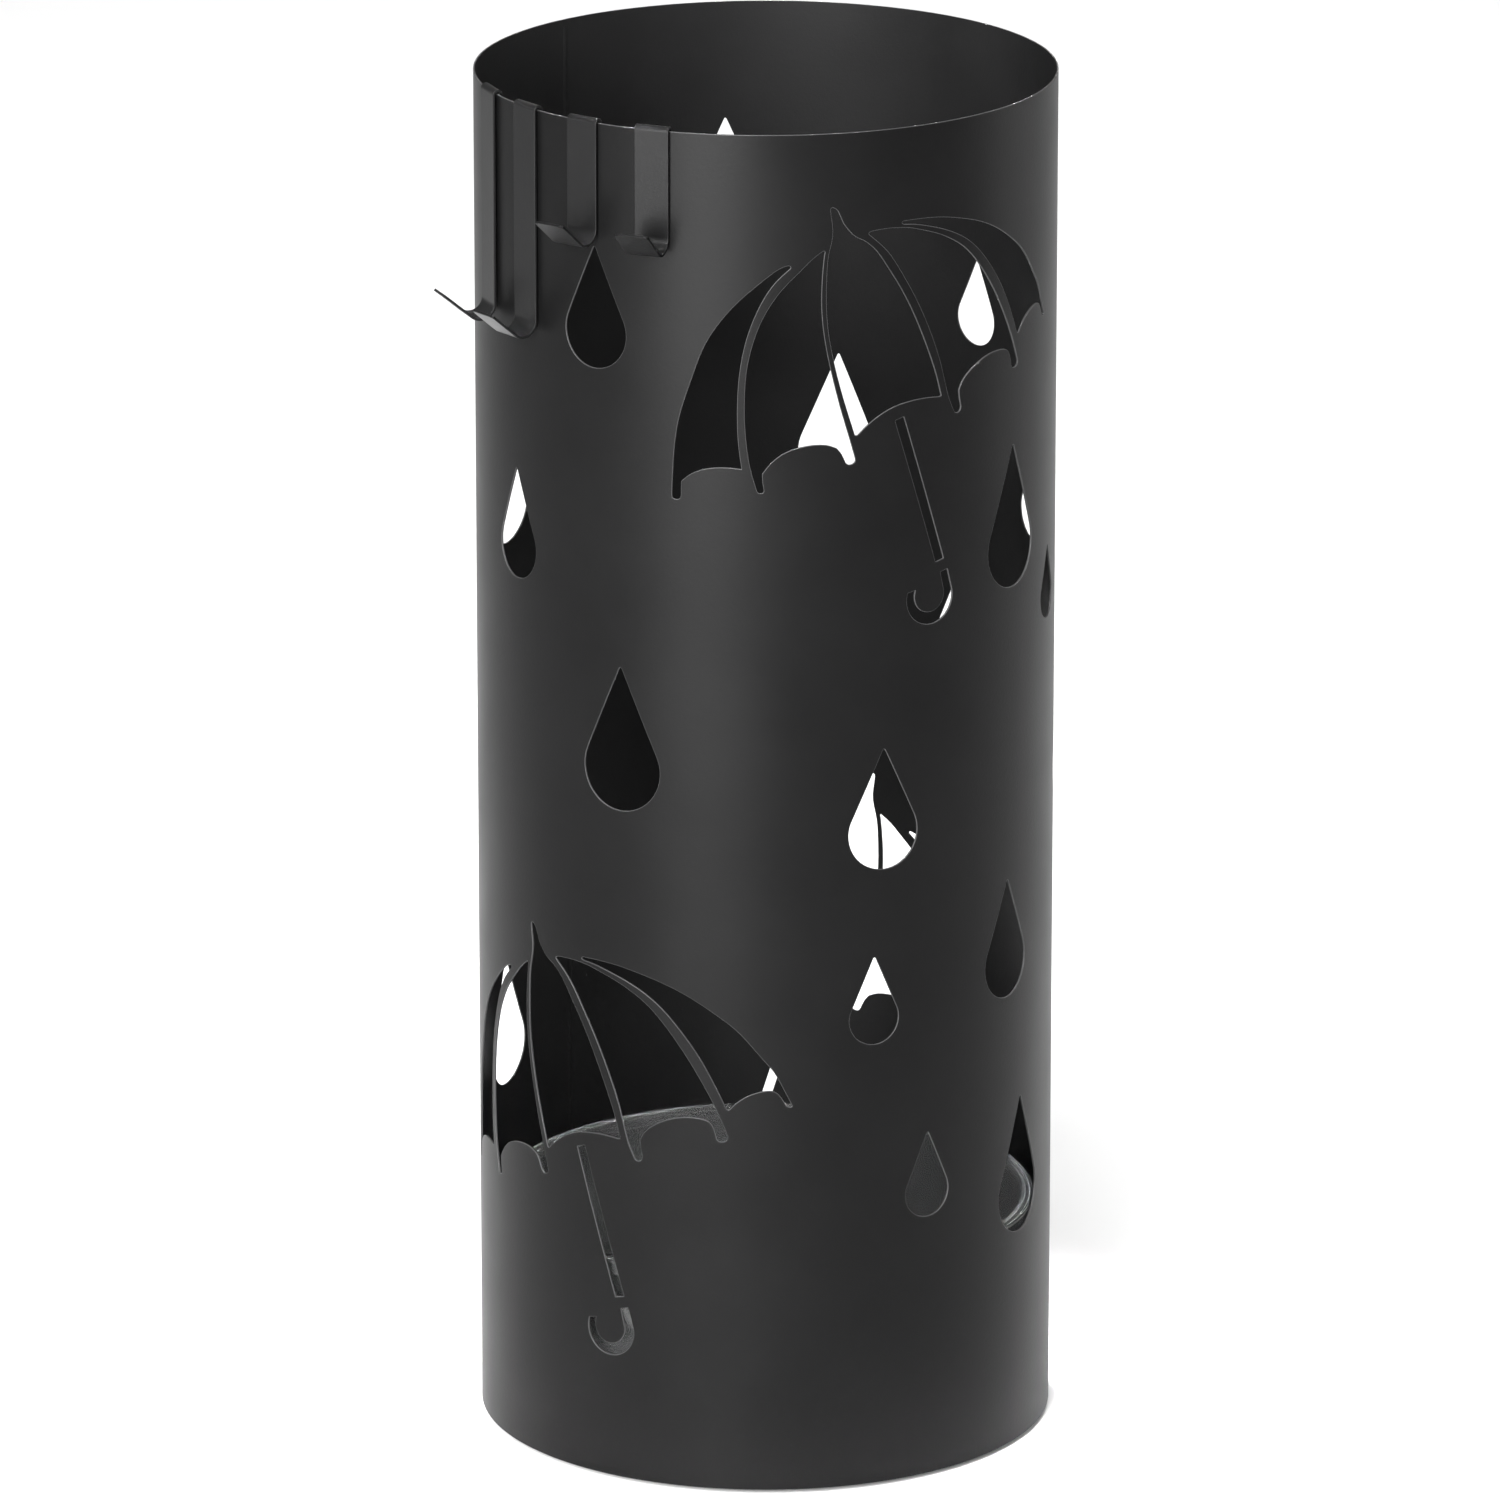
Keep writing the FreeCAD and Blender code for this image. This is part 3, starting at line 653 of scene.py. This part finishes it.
def clear_plastic():
    """Injection-moulded clear plastic: faintly milky body, glossy skin with flow waves and scuffs."""
    m, nt, b = new_material("clear_plastic")
    tc = nt.nodes.new("ShaderNodeTexCoord").outputs["Object"]
    haze = noise(nt, tc, 35.0, 4.0, 0.6)
    wave = noise(nt, tc, 55.0, 1.0, 0.4)
    scuff = noise(nt, tc, 420.0, 3.0, 0.6)
    rg = remap(nt, haze.outputs["Fac"], 0.04, 0.08, 0.35, 0.75)
    nt.links.new(rg.outputs["Result"], b.inputs["Roughness"])
    col = ramp(nt, scuff.outputs["Fac"], [(0.3, (0.70, 0.71, 0.715)), (0.7, (0.73, 0.74, 0.745))])
    nt.links.new(col.outputs["Color"], b.inputs["Base Color"])
    tw = remap(nt, haze.outputs["Fac"], 0.945, 0.975, 0.3, 0.7)
    nt.links.new(tw.outputs["Result"], b.inputs["Transmission Weight"])
    bump = nt.nodes.new("ShaderNodeBump")
    bump.inputs["Strength"].default_value = 0.05
    bump.inputs["Distance"].default_value = 0.0006
    nt.links.new(wave.outputs["Fac"], bump.inputs["Height"])
    nt.links.new(bump.outputs["Normal"], b.inputs["Normal"])
    b.inputs["IOR"].default_value = 1.47
    b.inputs["Specular IOR Level"].default_value = 0.5
    return m


def rubber():
    m, nt, b = new_material("foot_rubber")
    tc = nt.nodes.new("ShaderNodeTexCoord").outputs["Object"]
    n1 = noise(nt, tc, 1500.0, 3.0, 0.6)
    n2 = noise(nt, tc, 160.0, 2.0, 0.5)
    col = ramp(nt, n2.outputs["Fac"], [(0.35, (0.010, 0.010, 0.010)), (0.7, (0.022, 0.022, 0.022))])
    nt.links.new(col.outputs["Color"], b.inputs["Base Color"])
    rg = remap(nt, n1.outputs["Fac"], 0.72, 0.9, 0.3, 0.7)
    nt.links.new(rg.outputs["Result"], b.inputs["Roughness"])
    bump = nt.nodes.new("ShaderNodeBump")
    bump.inputs["Strength"].default_value = 0.4
    bump.inputs["Distance"].default_value = 0.0002
    nt.links.new(n1.outputs["Fac"], bump.inputs["Height"])
    nt.links.new(bump.outputs["Normal"], b.inputs["Normal"])
    b.inputs["Specular IOR Level"].default_value = 0.3
    return m


plastic = clear_plastic()
pad_mat = rubber()


def dress(obj, body, node, slot_name, *mats):
    for m in mats:
        obj.data.materials.append(m)
    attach(obj, body)
    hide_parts(node)
    return obj


# ---------------------------------------------------------------------------
# body_shell
# ---------------------------------------------------------------------------
u_cut = SEAM * R


def on_cylinder(uv, depth):
    a = uv[:, 0] / R
    s, c = np.sin(a), np.cos(a)
    out = np.stack([s, -c, np.zeros_like(s)], 1)
    pos = out * (R - depth)
    pos[:, 2] = uv[:, 1]
    eu = np.stack([c, s, np.zeros_like(s)], 1)
    ev = np.tile([0.0, 0.0, 1.0], (len(uv), 1))
    return pos, out, eu, ev


hole_loops = pattern_loops()
for i, h in enumerate(hole_loops):
    mid = (h[:, 0].min() + h[:, 0].max()) / 2
    if mid < u_cut:
        h = h + np.array([CIRC, 0.0])
    elif mid > u_cut + CIRC:
        h = h - np.array([CIRC, 0.0])
    hole_loops[i] = h
NU = 192
bev = 0.17
us = u_cut + (np.arange(1, NU) * CIRC / NU)
vs = np.linspace(Z0 + bev, Z1 - bev, 80)[1:-1]
grid = []
for j, v in enumerate(vs):
    off = 0.5 * CIRC / NU if j % 2 else 0.0
    for a in us:
        x = a + off
        if x < u_cut + CIRC - 1.0:
            grid.append((x, v))
shell = thick_sheet("shell", None, hole_loops, grid, T, bev, on_cylinder,
                    merge_u=(u_cut, u_cut + CIRC, Z0, Z1, NU), side_rows=vs)
dress(shell, "stand", "body_shell", "powder_coat", coat, edge_painted_highlight_coat, inner_wall_painted_light_coat)
# inner wall faces take slot 2: the lighter inner coat, painted fill light
for p in shell.data.polygons:
    cx, cy = p.center.x / MM, p.center.y / MM
    if math.hypot(cx, cy) < R - 0.7 * T and cx * p.normal.x + cy * p.normal.y < 0:
        p.material_index = 2

# ---------------------------------------------------------------------------
# seam_weld: low, slightly rippled bead inside the shell
# ---------------------------------------------------------------------------
slo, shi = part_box("seam_weld")
zs = np.arange(slo.z / MM, shi.z / MM + 1e-6, 0.55)
prof_n = 9
V, NN, F = [], [], []
for i, z in enumerate(zs):
    wob = 0.10 * math.sin(z * 0.9) + 0.06 * math.sin(z * 2.3 + 1)
    hgt = 0.26 + 0.035 * math.sin(z * 2 * math.pi / 1.9)
    wid = 1.08 + 0.08 * math.sin(z * 1.7)
    end = min(1.0, (z - zs[0]) / 1.0 + 0.15, (zs[-1] - z) / 1.0 + 0.15)
    for k in range(prof_n):
        t = -1 + 2 * k / (prof_n - 1)
        uu = SEAM * R + (wob * 0.5 + t * wid) * end
        d = hgt * (1 - t * t) * end
        a = uu / R
        r = R - T - d + 0.03
        V.append((r * math.sin(a), -r * math.cos(a), z))
        nr = -1.0
        nt_ = 0.45 * t
        NN.append((nr * math.sin(a) + nt_ * math.cos(a), -nr * math.cos(a) + nt_ * math.sin(a), 0.0))
V, NN = np.array(V), np.array(NN)
for i in range(len(zs) - 1):
    for k in range(prof_n - 1):
        a = i * prof_n + k
        F.append((a, a + prof_n, a + prof_n + 1, a + 1))
    a, b = i * prof_n, i * prof_n + prof_n - 1
    F.append((b, b + prof_n, a + prof_n, a))            # closed against the wall
F.append(tuple(range(prof_n)))
F.append(tuple(range((len(zs) - 1) * prof_n + prof_n - 1, (len(zs) - 1) * prof_n - 1, -1)))
seam = build("seam_bead", V, NN, F)
# the bead takes the inner wall's lighter coat (painted fill light) so it reads no darker than the wall
dress(seam, "stand", "seam_weld", "powder_coat", inner_wall_painted_light_coat)

# ---------------------------------------------------------------------------
# base_plate and its tack welds
# ---------------------------------------------------------------------------
blo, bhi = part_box("base_plate")
pr, pz0, pz1 = bhi.x / MM, blo.z / MM, bhi.z / MM
pt = 1.0
rr, rw, rh = 54.0, 4.0, 0.8
base = turned("base_disc", [
    (0, pz0, 0), (rr - rw - 1.5, pz0, 1.5), (rr - rw, pz0 + rh, 1.0), (rr + rw, pz0 + rh, 1.0),
    (rr + rw + 1.5, pz0, 1.5), (pr, pz0, 3.4), (pr, pz1, 0.35), (pr - pt, pz1, 0.35),
    (pr - pt, pz0 + pt, 2.5), (rr + rw + 2.0, pz0 + pt, 1.5), (rr + rw + 0.5, pz0 + pt + rh, 1.0),
    (rr - rw - 0.5, pz0 + pt + rh, 1.0), (rr - rw - 2.0, pz0 + pt, 1.5), (0, pz0 + pt, 0)], 240)
dress(base, "stand", "base_plate", "powder_coat", coat_base)

wlo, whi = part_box("base_welds")
wz = wlo.z / MM
V, NN, F = [], [], []
inner = R - T
for w in range(6):
    mid = SEAM + math.radians(30 + 60 * w)
    n1, n2 = 34, 10
    b0 = len(V)
    for i in range(n1 + 1):
        t = i / n1
        a = mid + math.radians(3.5) * (2 * t - 1)
        end = math.sqrt(max(0.0, 1 - (2 * t - 1) ** 6))
        rip = 1 + 0.08 * math.sin(t * math.pi * 14)
        for k in range(n2 + 1):
            q = k / n2 * math.pi / 2
            leg_r, leg_z = 1.0 * end * rip, 1.3 * end * rip
            r = inner - 0.02 - leg_r * math.cos(q) ** 1.3
            z = wz + leg_z * math.sin(q) ** 1.3
            V.append((r * math.sin(a), -r * math.cos(a), z))
            nr, nz = -math.cos(q), math.sin(q)
            NN.append((nr * math.sin(a), -nr * math.cos(a), nz))
        r = inner - 0.02
        V.append((r * math.sin(a), -r * math.cos(a), wz))
        NN.append((math.sin(a), -math.cos(a), -1.0))
    row = n2 + 2
    for i in range(n1):
        for k in range(row):
            k2 = (k + 1) % row
            F.append((b0 + i * row + k, b0 + i * row + k2, b0 + (i + 1) * row + k2, b0 + (i + 1) * row + k))
    F.append(tuple(b0 + k for k in range(row))[::-1])
    F.append(tuple(b0 + n1 * row + k for k in range(row)))
welds = build("tack_welds", np.array(V), np.array(NN), F)
dress(welds, "stand", "base_welds", "powder_coat", coat_base)

# ---------------------------------------------------------------------------
# foot_pads
# ---------------------------------------------------------------------------
plo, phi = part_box("foot_pads")
ph = phi.z / MM
V, NN, F = np.zeros((0, 3)), np.zeros((0, 3)), []
for k in range(4):
    a = math.radians(45 + 90 * k)
    cx, cy = 74.0 * math.sin(a), -74.0 * math.cos(a)
    pts, nor = round_profile([(0, 0, 0), (6.2, 0, 0.3), (6.5, 0.12, 0.1), (6.8, 0, 0.3), (8.0, 0, 0.4),
                              (8.0, ph, 0.25), (0, ph, 0)], 4)
    v, n, f = lathe("pad", pts, nor, np.arange(56) * 2 * math.pi / 56)
    v = v + np.array([cx, cy, 0])
    off = len(V)
    V, NN = np.vstack([V, v]), np.vstack([NN, n])
    F += [tuple(i + off for i in q) for q in f]
pads = build("foot_pad_set", V, NN, F)
dress(pads, "stand", "foot_pads", "foot_rubber", pad_mat)

# ---------------------------------------------------------------------------
# drip_tray
# ---------------------------------------------------------------------------
tlo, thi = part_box("drip_tray")
tz, tt, tr = tlo.z / MM, thi.z / MM, thi.x / MM
tw = 1.2
foot_r, mouth_r = 84.0, 89.0


def wall_r(z):
    return foot_r + (z - tz) * (mouth_r - foot_r) / (tt - tz)


lug_a = math.radians(-157.5)
lug_z1 = tt - tw - 1.2
lug_z0 = lug_z1 - 7.6
rows = list(np.arange(lug_z1 + 0.6, lug_z0 - 0.9, -0.3))
corners = [
    (0, tz + 1.0, 0), (70.0, tz + 1.0, 1.2), (72.0, tz, 1.2), (wall_r(tz), tz, 6.6),
    (wall_r(tt - tw), tt - tw, 0.5), (tr - tw, tt - tw, 0.5), (tr - tw, tt - 5.2, 0.3),
    (tr, tt - 5.2, 0.3), (tr, tt, 0.8), (wall_r(tt) - tw, tt, 0.5)]
corners += [(wall_r(z) - tw, z, -1) for z in rows]
corners += [(wall_r(tz) - tw, tz + tw, 5.6), (72.5, tz + tw, 1.2), (70.5, tz + tw + 1.0, 1.2), (0, tz + tw + 1.0, 0)]


def tray_profile():
    solid = [c for c in corners if c[2] >= 0]
    pts, nor = round_profile(solid, 8)
    # extra rows on the inner wall, where the lug is
    wall_n = np.array([-math.cos(math.atan2(mouth_r - foot_r, tt - tz)), math.sin(math.atan2(mouth_r - foot_r, tt - tz))])
    best = None
    for i in range(len(pts) - 1):
        if pts[i][1] > lug_z1 + 0.6 and pts[i + 1][1] < lug_z0 - 0.9 and pts[i][0] < tr - 2.5 and pts[i][0] > 60:
            best = i
    add = np.array([(wall_r(z) - tw, z) for z in rows])
    pts = np.vstack([pts[:best + 1], add, pts[best + 1:]])
    nor = np.vstack([nor[:best + 1], np.tile(nor[best], (len(add), 1)), nor[best + 1:]])
    return pts, nor, best + 1, len(add)


tp, tn, row0, nrow = tray_profile()
# the lathe turns from +X anticlockwise; the lug's direction in that angle
lug_phi = math.atan2(-math.cos(lug_a), math.sin(lug_a))
coarse = list(np.arange(240) * 2 * math.pi / 240)
fine_a = [lug_phi + math.radians(x) for x in np.arange(-3.2, 3.21, 0.16)]
ang = sorted(set([round(x % (2 * math.pi), 6) for x in fine_a]
                 + [round(x, 6) for x in coarse
                    if abs((x - lug_phi + math.pi) % (2 * math.pi) - math.pi) > math.radians(3.4)]))
ang = np.array(ang)


def lug_height(du, z):
    """Half-round topped boss, edges rounded; du across, z up, millimetres."""
    w2 = 3.1
    zc = lug_z1 - w2
    if z > zc:
        d = w2 - math.hypot(du, z - zc)
    else:
        d = min(w2 - abs(du), (z - lug_z0))
    t = max(0.0, min(1.0, (d + 0.35) / 0.8))
    s = t * t * (3 - 2 * t)
    dish = max(0.0, min(1.0, (d - 0.7) / 0.7))
    return 1.25 * s - 0.75 * dish * dish * (3 - 2 * dish)


def tray_dent(P, N, angles):
    for i, a in enumerate(angles):
        da = (a - lug_phi + math.pi) % (2 * math.pi) - math.pi
        if abs(da) > math.radians(3.3):
            continue
        for k in range(row0, row0 + nrow):
            z = P[i, k, 2]
            rad = math.hypot(P[i, k, 0], P[i, k, 1])
            du = da * rad
            h = lug_height(du, z)
            if h <= 0:
                continue
            e = 0.05
            gu = (lug_height(du + e, z) - lug_height(du - e, z)) / (2 * e)
            gz = (lug_height(du, z + e) - lug_height(du, z - e)) / (2 * e)
            er = np.array([math.cos(a), math.sin(a), 0])
            et = np.array([-math.sin(a), math.cos(a), 0])
            P[i, k] -= er * h
            n = -er - gu * et - gz * np.array([0, 0, 1.0])
            N[i, k] = n / np.linalg.norm(n)
    return P, N


V, NN, F = lathe("tray", tp, tn, ang, tray_dent)
tray = build("clear_tray", V, NN, F)
dress(tray, "tray", "drip_tray", "clear_plastic", plastic)

# ---------------------------------------------------------------------------
# hooks
# ---------------------------------------------------------------------------
H_W, H_T = 12.0, 0.9
H_OVER, H_AXIS, H_RISE, H_IN = 0.85, 97.1, -0.2, 19.2
H_BEND, H_ARM, H_TILT = 5.0, 12.2, 40.0


def hook_path(drop):
    """Functions of the distance s along the strip's middle: point and outer normal (r, z)."""
    ht = H_T / 2
    top = Z1 + H_RISE
    zc = Z1 - drop + H_BEND + ht
    leg = H_AXIS + H_OVER + ht
    back_r = H_AXIS - H_OVER - ht
    r1 = H_OVER + ht
    z_in = Z1 - H_IN
    l1 = top - z_in
    l2 = math.pi * r1
    l3 = top - zc
    l4 = math.radians(90 + H_TILT) * H_BEND
    l5 = H_ARM
    c2 = (leg + H_BEND, zc)
    tilt = math.radians(H_TILT)

    def at(s):
        if s <= l1:
            return (back_r, z_in + s), (-1.0, 0.0)
        s -= l1
        if s <= l2:
            a = math.pi - s / r1
            return (H_AXIS + r1 * math.cos(a), top + r1 * math.sin(a)), (math.cos(a), math.sin(a))
        s -= l2
        if s <= l3:
            return (leg, top - s), (1.0, 0.0)
        s -= l3
        if s <= l4:
            a = math.pi + s / H_BEND
            return (c2[0] + H_BEND * math.cos(a), c2[1] + H_BEND * math.sin(a)), (-math.cos(a), -math.sin(a))
        s -= l4
        a = math.pi + math.radians(90 + H_TILT)
        p = (c2[0] + H_BEND * math.cos(a), c2[1] + H_BEND * math.sin(a))
        return (p[0] + s * math.cos(tilt), p[1] + s * math.sin(tilt)), (-math.sin(tilt), math.cos(tilt))

    return at, l1, l2, l3, l4, l5


def make_hook(name, angle, drop):
    """Strip with rounded edges and rounded end corners, swept along the path row by row."""
    at, l1, l2, l3, l4, l5 = hook_path(drop)
    total = l1 + l2 + l3 + l4 + l5
    a0 = math.radians(angle)
    er = np.array([math.sin(a0), -math.cos(a0), 0.0])
    et = np.array([math.cos(a0), math.sin(a0), 0.0])
    ez = np.array([0.0, 0.0, 1.0])
    rc, eb, hw, ht = 1.5, 0.2, H_W / 2, H_T / 2
    nround = 3

    # rows: distance along, half width, half thickness, lean of the normals towards the end
    rows = []
    for k in range(nround + 1):                     # rounded end edge
        q = math.radians(90 * k / nround)
        rows.append((eb * (1 - math.cos(q)), hw - rc, ht - eb * (1 - math.sin(q)), math.cos(q), 0.0))
    for k in range(1, 9):                           # rounded corner in the strip's plane
        q = math.radians(90 * k / 8)
        d = rc * (1 - math.cos(q))
        if d > eb + 0.02:
            rows.append((d, hw - rc + rc * math.sin(q), ht, 0.0, math.cos(q)))
    head = rows
    inner = sorted(set([round(x, 4) for x in
                        list(np.linspace(rc + 0.4, l1, 11)) + list(l1 + np.linspace(0, l2, 19)[1:])
                        + list(l1 + l2 + np.linspace(0, l3, max(8, int(l3 / 3)))[1:])
                        + list(l1 + l2 + l3 + np.linspace(0, l4, 29)[1:])
                        + list(l1 + l2 + l3 + l4 + np.linspace(0, l5 - rc - 0.4, 6)[1:])]))
    full = [(s, w, t, -c, q, 1) for s, w, t, c, q in head]
    full += [(s, hw, ht, 0.0, 0.0, 1) for s in inner]
    full += [(total - s, w, t, c, -q, 1) for s, w, t, c, q in reversed(head)]
    V, NN, F = [], [], []
    flat = [-1.0, -0.66, -0.33, 0.0, 0.33, 0.66, 1.0]
    n = None
    for s, w, t, lean, corner, _ in full:
        (r, z), (nr, nz) = at(s)
        o = er * nr + ez * nz
        tang = np.cross(o, et)
        c = er * r + ez * z
        ring = []
        e = min(eb, t)
        for x in flat:                              # outer face
            ring.append((x * (w - eb), t, 0.0, 1.0))
        for k in range(1, 4):
            q = math.radians(90 * k / 4)
            ring.append((w - eb + eb * math.sin(q), t - e + e * math.cos(q), math.sin(q), math.cos(q)))
        for q in (0.0, 1.0):
            ring.append((w, (t - e) * (1 - 2 * q), 1.0, 0.0))
        for k in range(1, 4):
            q = math.radians(90 * k / 4)
            ring.append((w - eb + eb * math.cos(q), -t + e - e * math.sin(q), math.cos(q), -math.sin(q)))
        for x in reversed(flat):
            ring.append((x * (w - eb), -t, 0.0, -1.0))
        for k in range(1, 4):
            q = math.radians(90 * k / 4)
            ring.append((-w + eb - eb * math.sin(q), -t + e - e * math.cos(q), -math.sin(q), -math.cos(q)))
        for q in (1.0, 0.0):
            ring.append((-w, (t - e) * (1 - 2 * q), -1.0, 0.0))
        for k in range(1, 4):
            q = math.radians(90 * k / 4)
            ring.append((-w + eb - eb * math.cos(q), t - e + e * math.sin(q), -math.cos(q), math.sin(q)))
        n = len(ring)
        side = math.sqrt(max(0.0, 1 - corner * corner))
        up = math.sqrt(max(0.0, 1 - lean * lean))
        for x, y, nx, ny in ring:
            V.append(c + et * x + o * y)
            v = et * nx * side + o * ny
            if abs(nx) > 0.01 and corner:
                v = v - tang * corner * abs(nx)
            v = v * up + tang * lean
            NN.append(v)
    for i in range(len(full) - 1):
        for k in range(n):
            m = (k + 1) % n
            F.append((i * n + k, i * n + m, (i + 1) * n + m, (i + 1) * n + k))
    # flat ends: strips between the two faces
    for i, first in ((0, True), (len(full) - 1, False)):
        b = i * n
        nf = len(flat)
        top = [b + k for k in range(nf)]
        bot = [b + nf + 3 + 2 + 3 + k for k in range(nf)][::-1]
        (r, z), (nr, nz) = at(full[i][0])
        o = er * nr + ez * nz
        tang = np.cross(o, et) * (-1 if first else 1)
        base_v = len(V)
        for k in top + bot:
            V.append(V[k]); NN.append(tang)
        for k in range(nf - 1):
            q = (base_v + k, base_v + k + 1, base_v + nf + k + 1, base_v + nf + k)
            F.append(q[::-1] if first else q)
        right = [b + nf - 1 + k for k in range(0, 10)]
        left = [b + (nf + 3 + 2 + 3 + nf - 1 + k) % n for k in range(0, 9)] + [b]
        for chain in (right, left):
            base_v = len(V)
            for k in chain:
                V.append(V[k]); NN.append(tang)
            q = tuple(base_v + k for k in range(len(chain)))
            F.append(q if not first else q[::-1])
    V, NN = np.array(V), np.array(NN)
    # outward check: flip everything if the first face points inwards
    a, b_, c_ = V[F[len(full) // 2 * n + 3][0]], V[F[len(full) // 2 * n + 3][1]], V[F[len(full) // 2 * n + 3][2]]
    if np.dot(np.cross(b_ - a, c_ - a), NN[F[len(full) // 2 * n + 3][0]]) < 0:
        F = [f[::-1] for f in F]
    return build(name, V, NN, F)


HOOKS = [("hook_long_outer", "long_hook_outer", -68.8, 76.5), ("hook_long_inner", "long_hook_inner", -53.5, 76.5),
         ("hook_short_outer", "short_hook_outer", -37.6, 40.6), ("hook_short_inner", "short_hook_inner", -22.2, 40.6)]
for node, body, angle, drop in HOOKS:
    h = make_hook(node.replace("hook", "rim_hook"), angle, drop)
    dress(h, body, node, "hook_coat", coat_hook)

# ---------------------------------------------------------------------------
# floor, light, camera
# ---------------------------------------------------------------------------
def plane(name, size, z=0.0):
    me = bpy.data.meshes.new(name)
    n = 8
    vs_, fs_ = [], []
    for j in range(n + 1):
        for i in range(n + 1):
            vs_.append((size * (i / n - 0.5), size * (j / n - 0.5), z))
    for j in range(n):
        for i in range(n):
            a = j * (n + 1) + i
            fs_.append((a, a + 1, a + n + 2, a + n + 1))
    me.from_pydata(vs_, [], fs_)
    o = bpy.data.objects.new(name, me)
    bpy.context.scene.collection.objects.link(o)
    return o


floor = plane("floor", 14.0, -0.0002)
fm, fnt, fb = new_material("floor_pale")
ftc = fnt.nodes.new("ShaderNodeTexCoord").outputs["Object"]
fno = noise(fnt, ftc, 3.0, 2.0, 0.5)
fcol = ramp(fnt, fno.outputs["Fac"], [(0.3, (0.77, 0.77, 0.77)), (0.7, (0.79, 0.79, 0.79))])
fnt.links.new(fcol.outputs["Color"], fb.inputs["Base Color"])
fb.inputs["Roughness"].default_value = 0.9
fb.inputs["Specular IOR Level"].default_value = 0.1
floor.data.materials.append(fm)

world = bpy.data.worlds.new("studio")
bpy.context.scene.world = world
world.use_nodes = True
wb = world.node_tree.nodes["Background"]
wb.inputs["Color"].default_value = (1.0, 1.0, 1.0, 1.0)
wb.inputs["Strength"].default_value = 0.21


def soft_box(name, centre, target, w, h, power, spread=180):
    ld = bpy.data.lights.new(name, "AREA")
    ld.shape = "RECTANGLE"
    ld.size, ld.size_y = w, h
    ld.energy = power
    ld.spread = math.radians(spread)
    o = bpy.data.objects.new(name, ld)
    bpy.context.scene.collection.objects.link(o)
    o.location = centre
    d = Vector(target) - Vector(centre)
    o.rotation_euler = d.to_track_quat("-Z", "Y").to_euler()
    return o


# tall soft boxes in a ring; angle from the front (-Y), positive towards +X
RING = [(105, 27.0), (120, 11.0), (-15, 144.0), (-30, 176.0), (-60, 1.5), (-75, 1.5), (-105, 3.5)]
for deg, watts in RING:
    a = math.radians(deg)
    soft_box("ring_%d" % deg, (2.6 * math.sin(a), -2.6 * math.cos(a), 1.15), (0.0, 0.0, 1.15), 0.6, 2.2, watts)
soft_box("high_front", (-0.1, -1.5, 3.0), (0.0, 0.0, 0.45), 1.8, 1.0, 15.0, 50)
soft_box("overhead", (0.0, 0.1, 2.6), (0.0, 0.1, 0.0), 1.6, 1.6, 5.0, 90)
soft_box("far_floor", (0.25, 2.4, 2.6), (0.25, 2.4, 0.0), 3.4, 1.4, 15.0, 80)
soft_box("down_the_mouth", (0.0, 0.0, 2.6), (0.0, 0.0, 0.0), 0.18, 0.18, 1.1, 4)

cam_d = bpy.data.cameras.new("camera")
cam = bpy.data.objects.new("camera", cam_d)
bpy.context.scene.collection.objects.link(cam)
cam.location = (0.0, -3.764970, 1.360092)
cam.rotation_euler = (math.radians(90 - 16.6753), 0.0, 0.00140)
cam_d.sensor_width = 36.0
cam_d.lens = 278.335
cam_d.clip_start = 0.1
cam_d.clip_end = 50.0
bpy.context.scene.camera = cam
bpy.context.scene.view_settings.view_transform = "Standard"

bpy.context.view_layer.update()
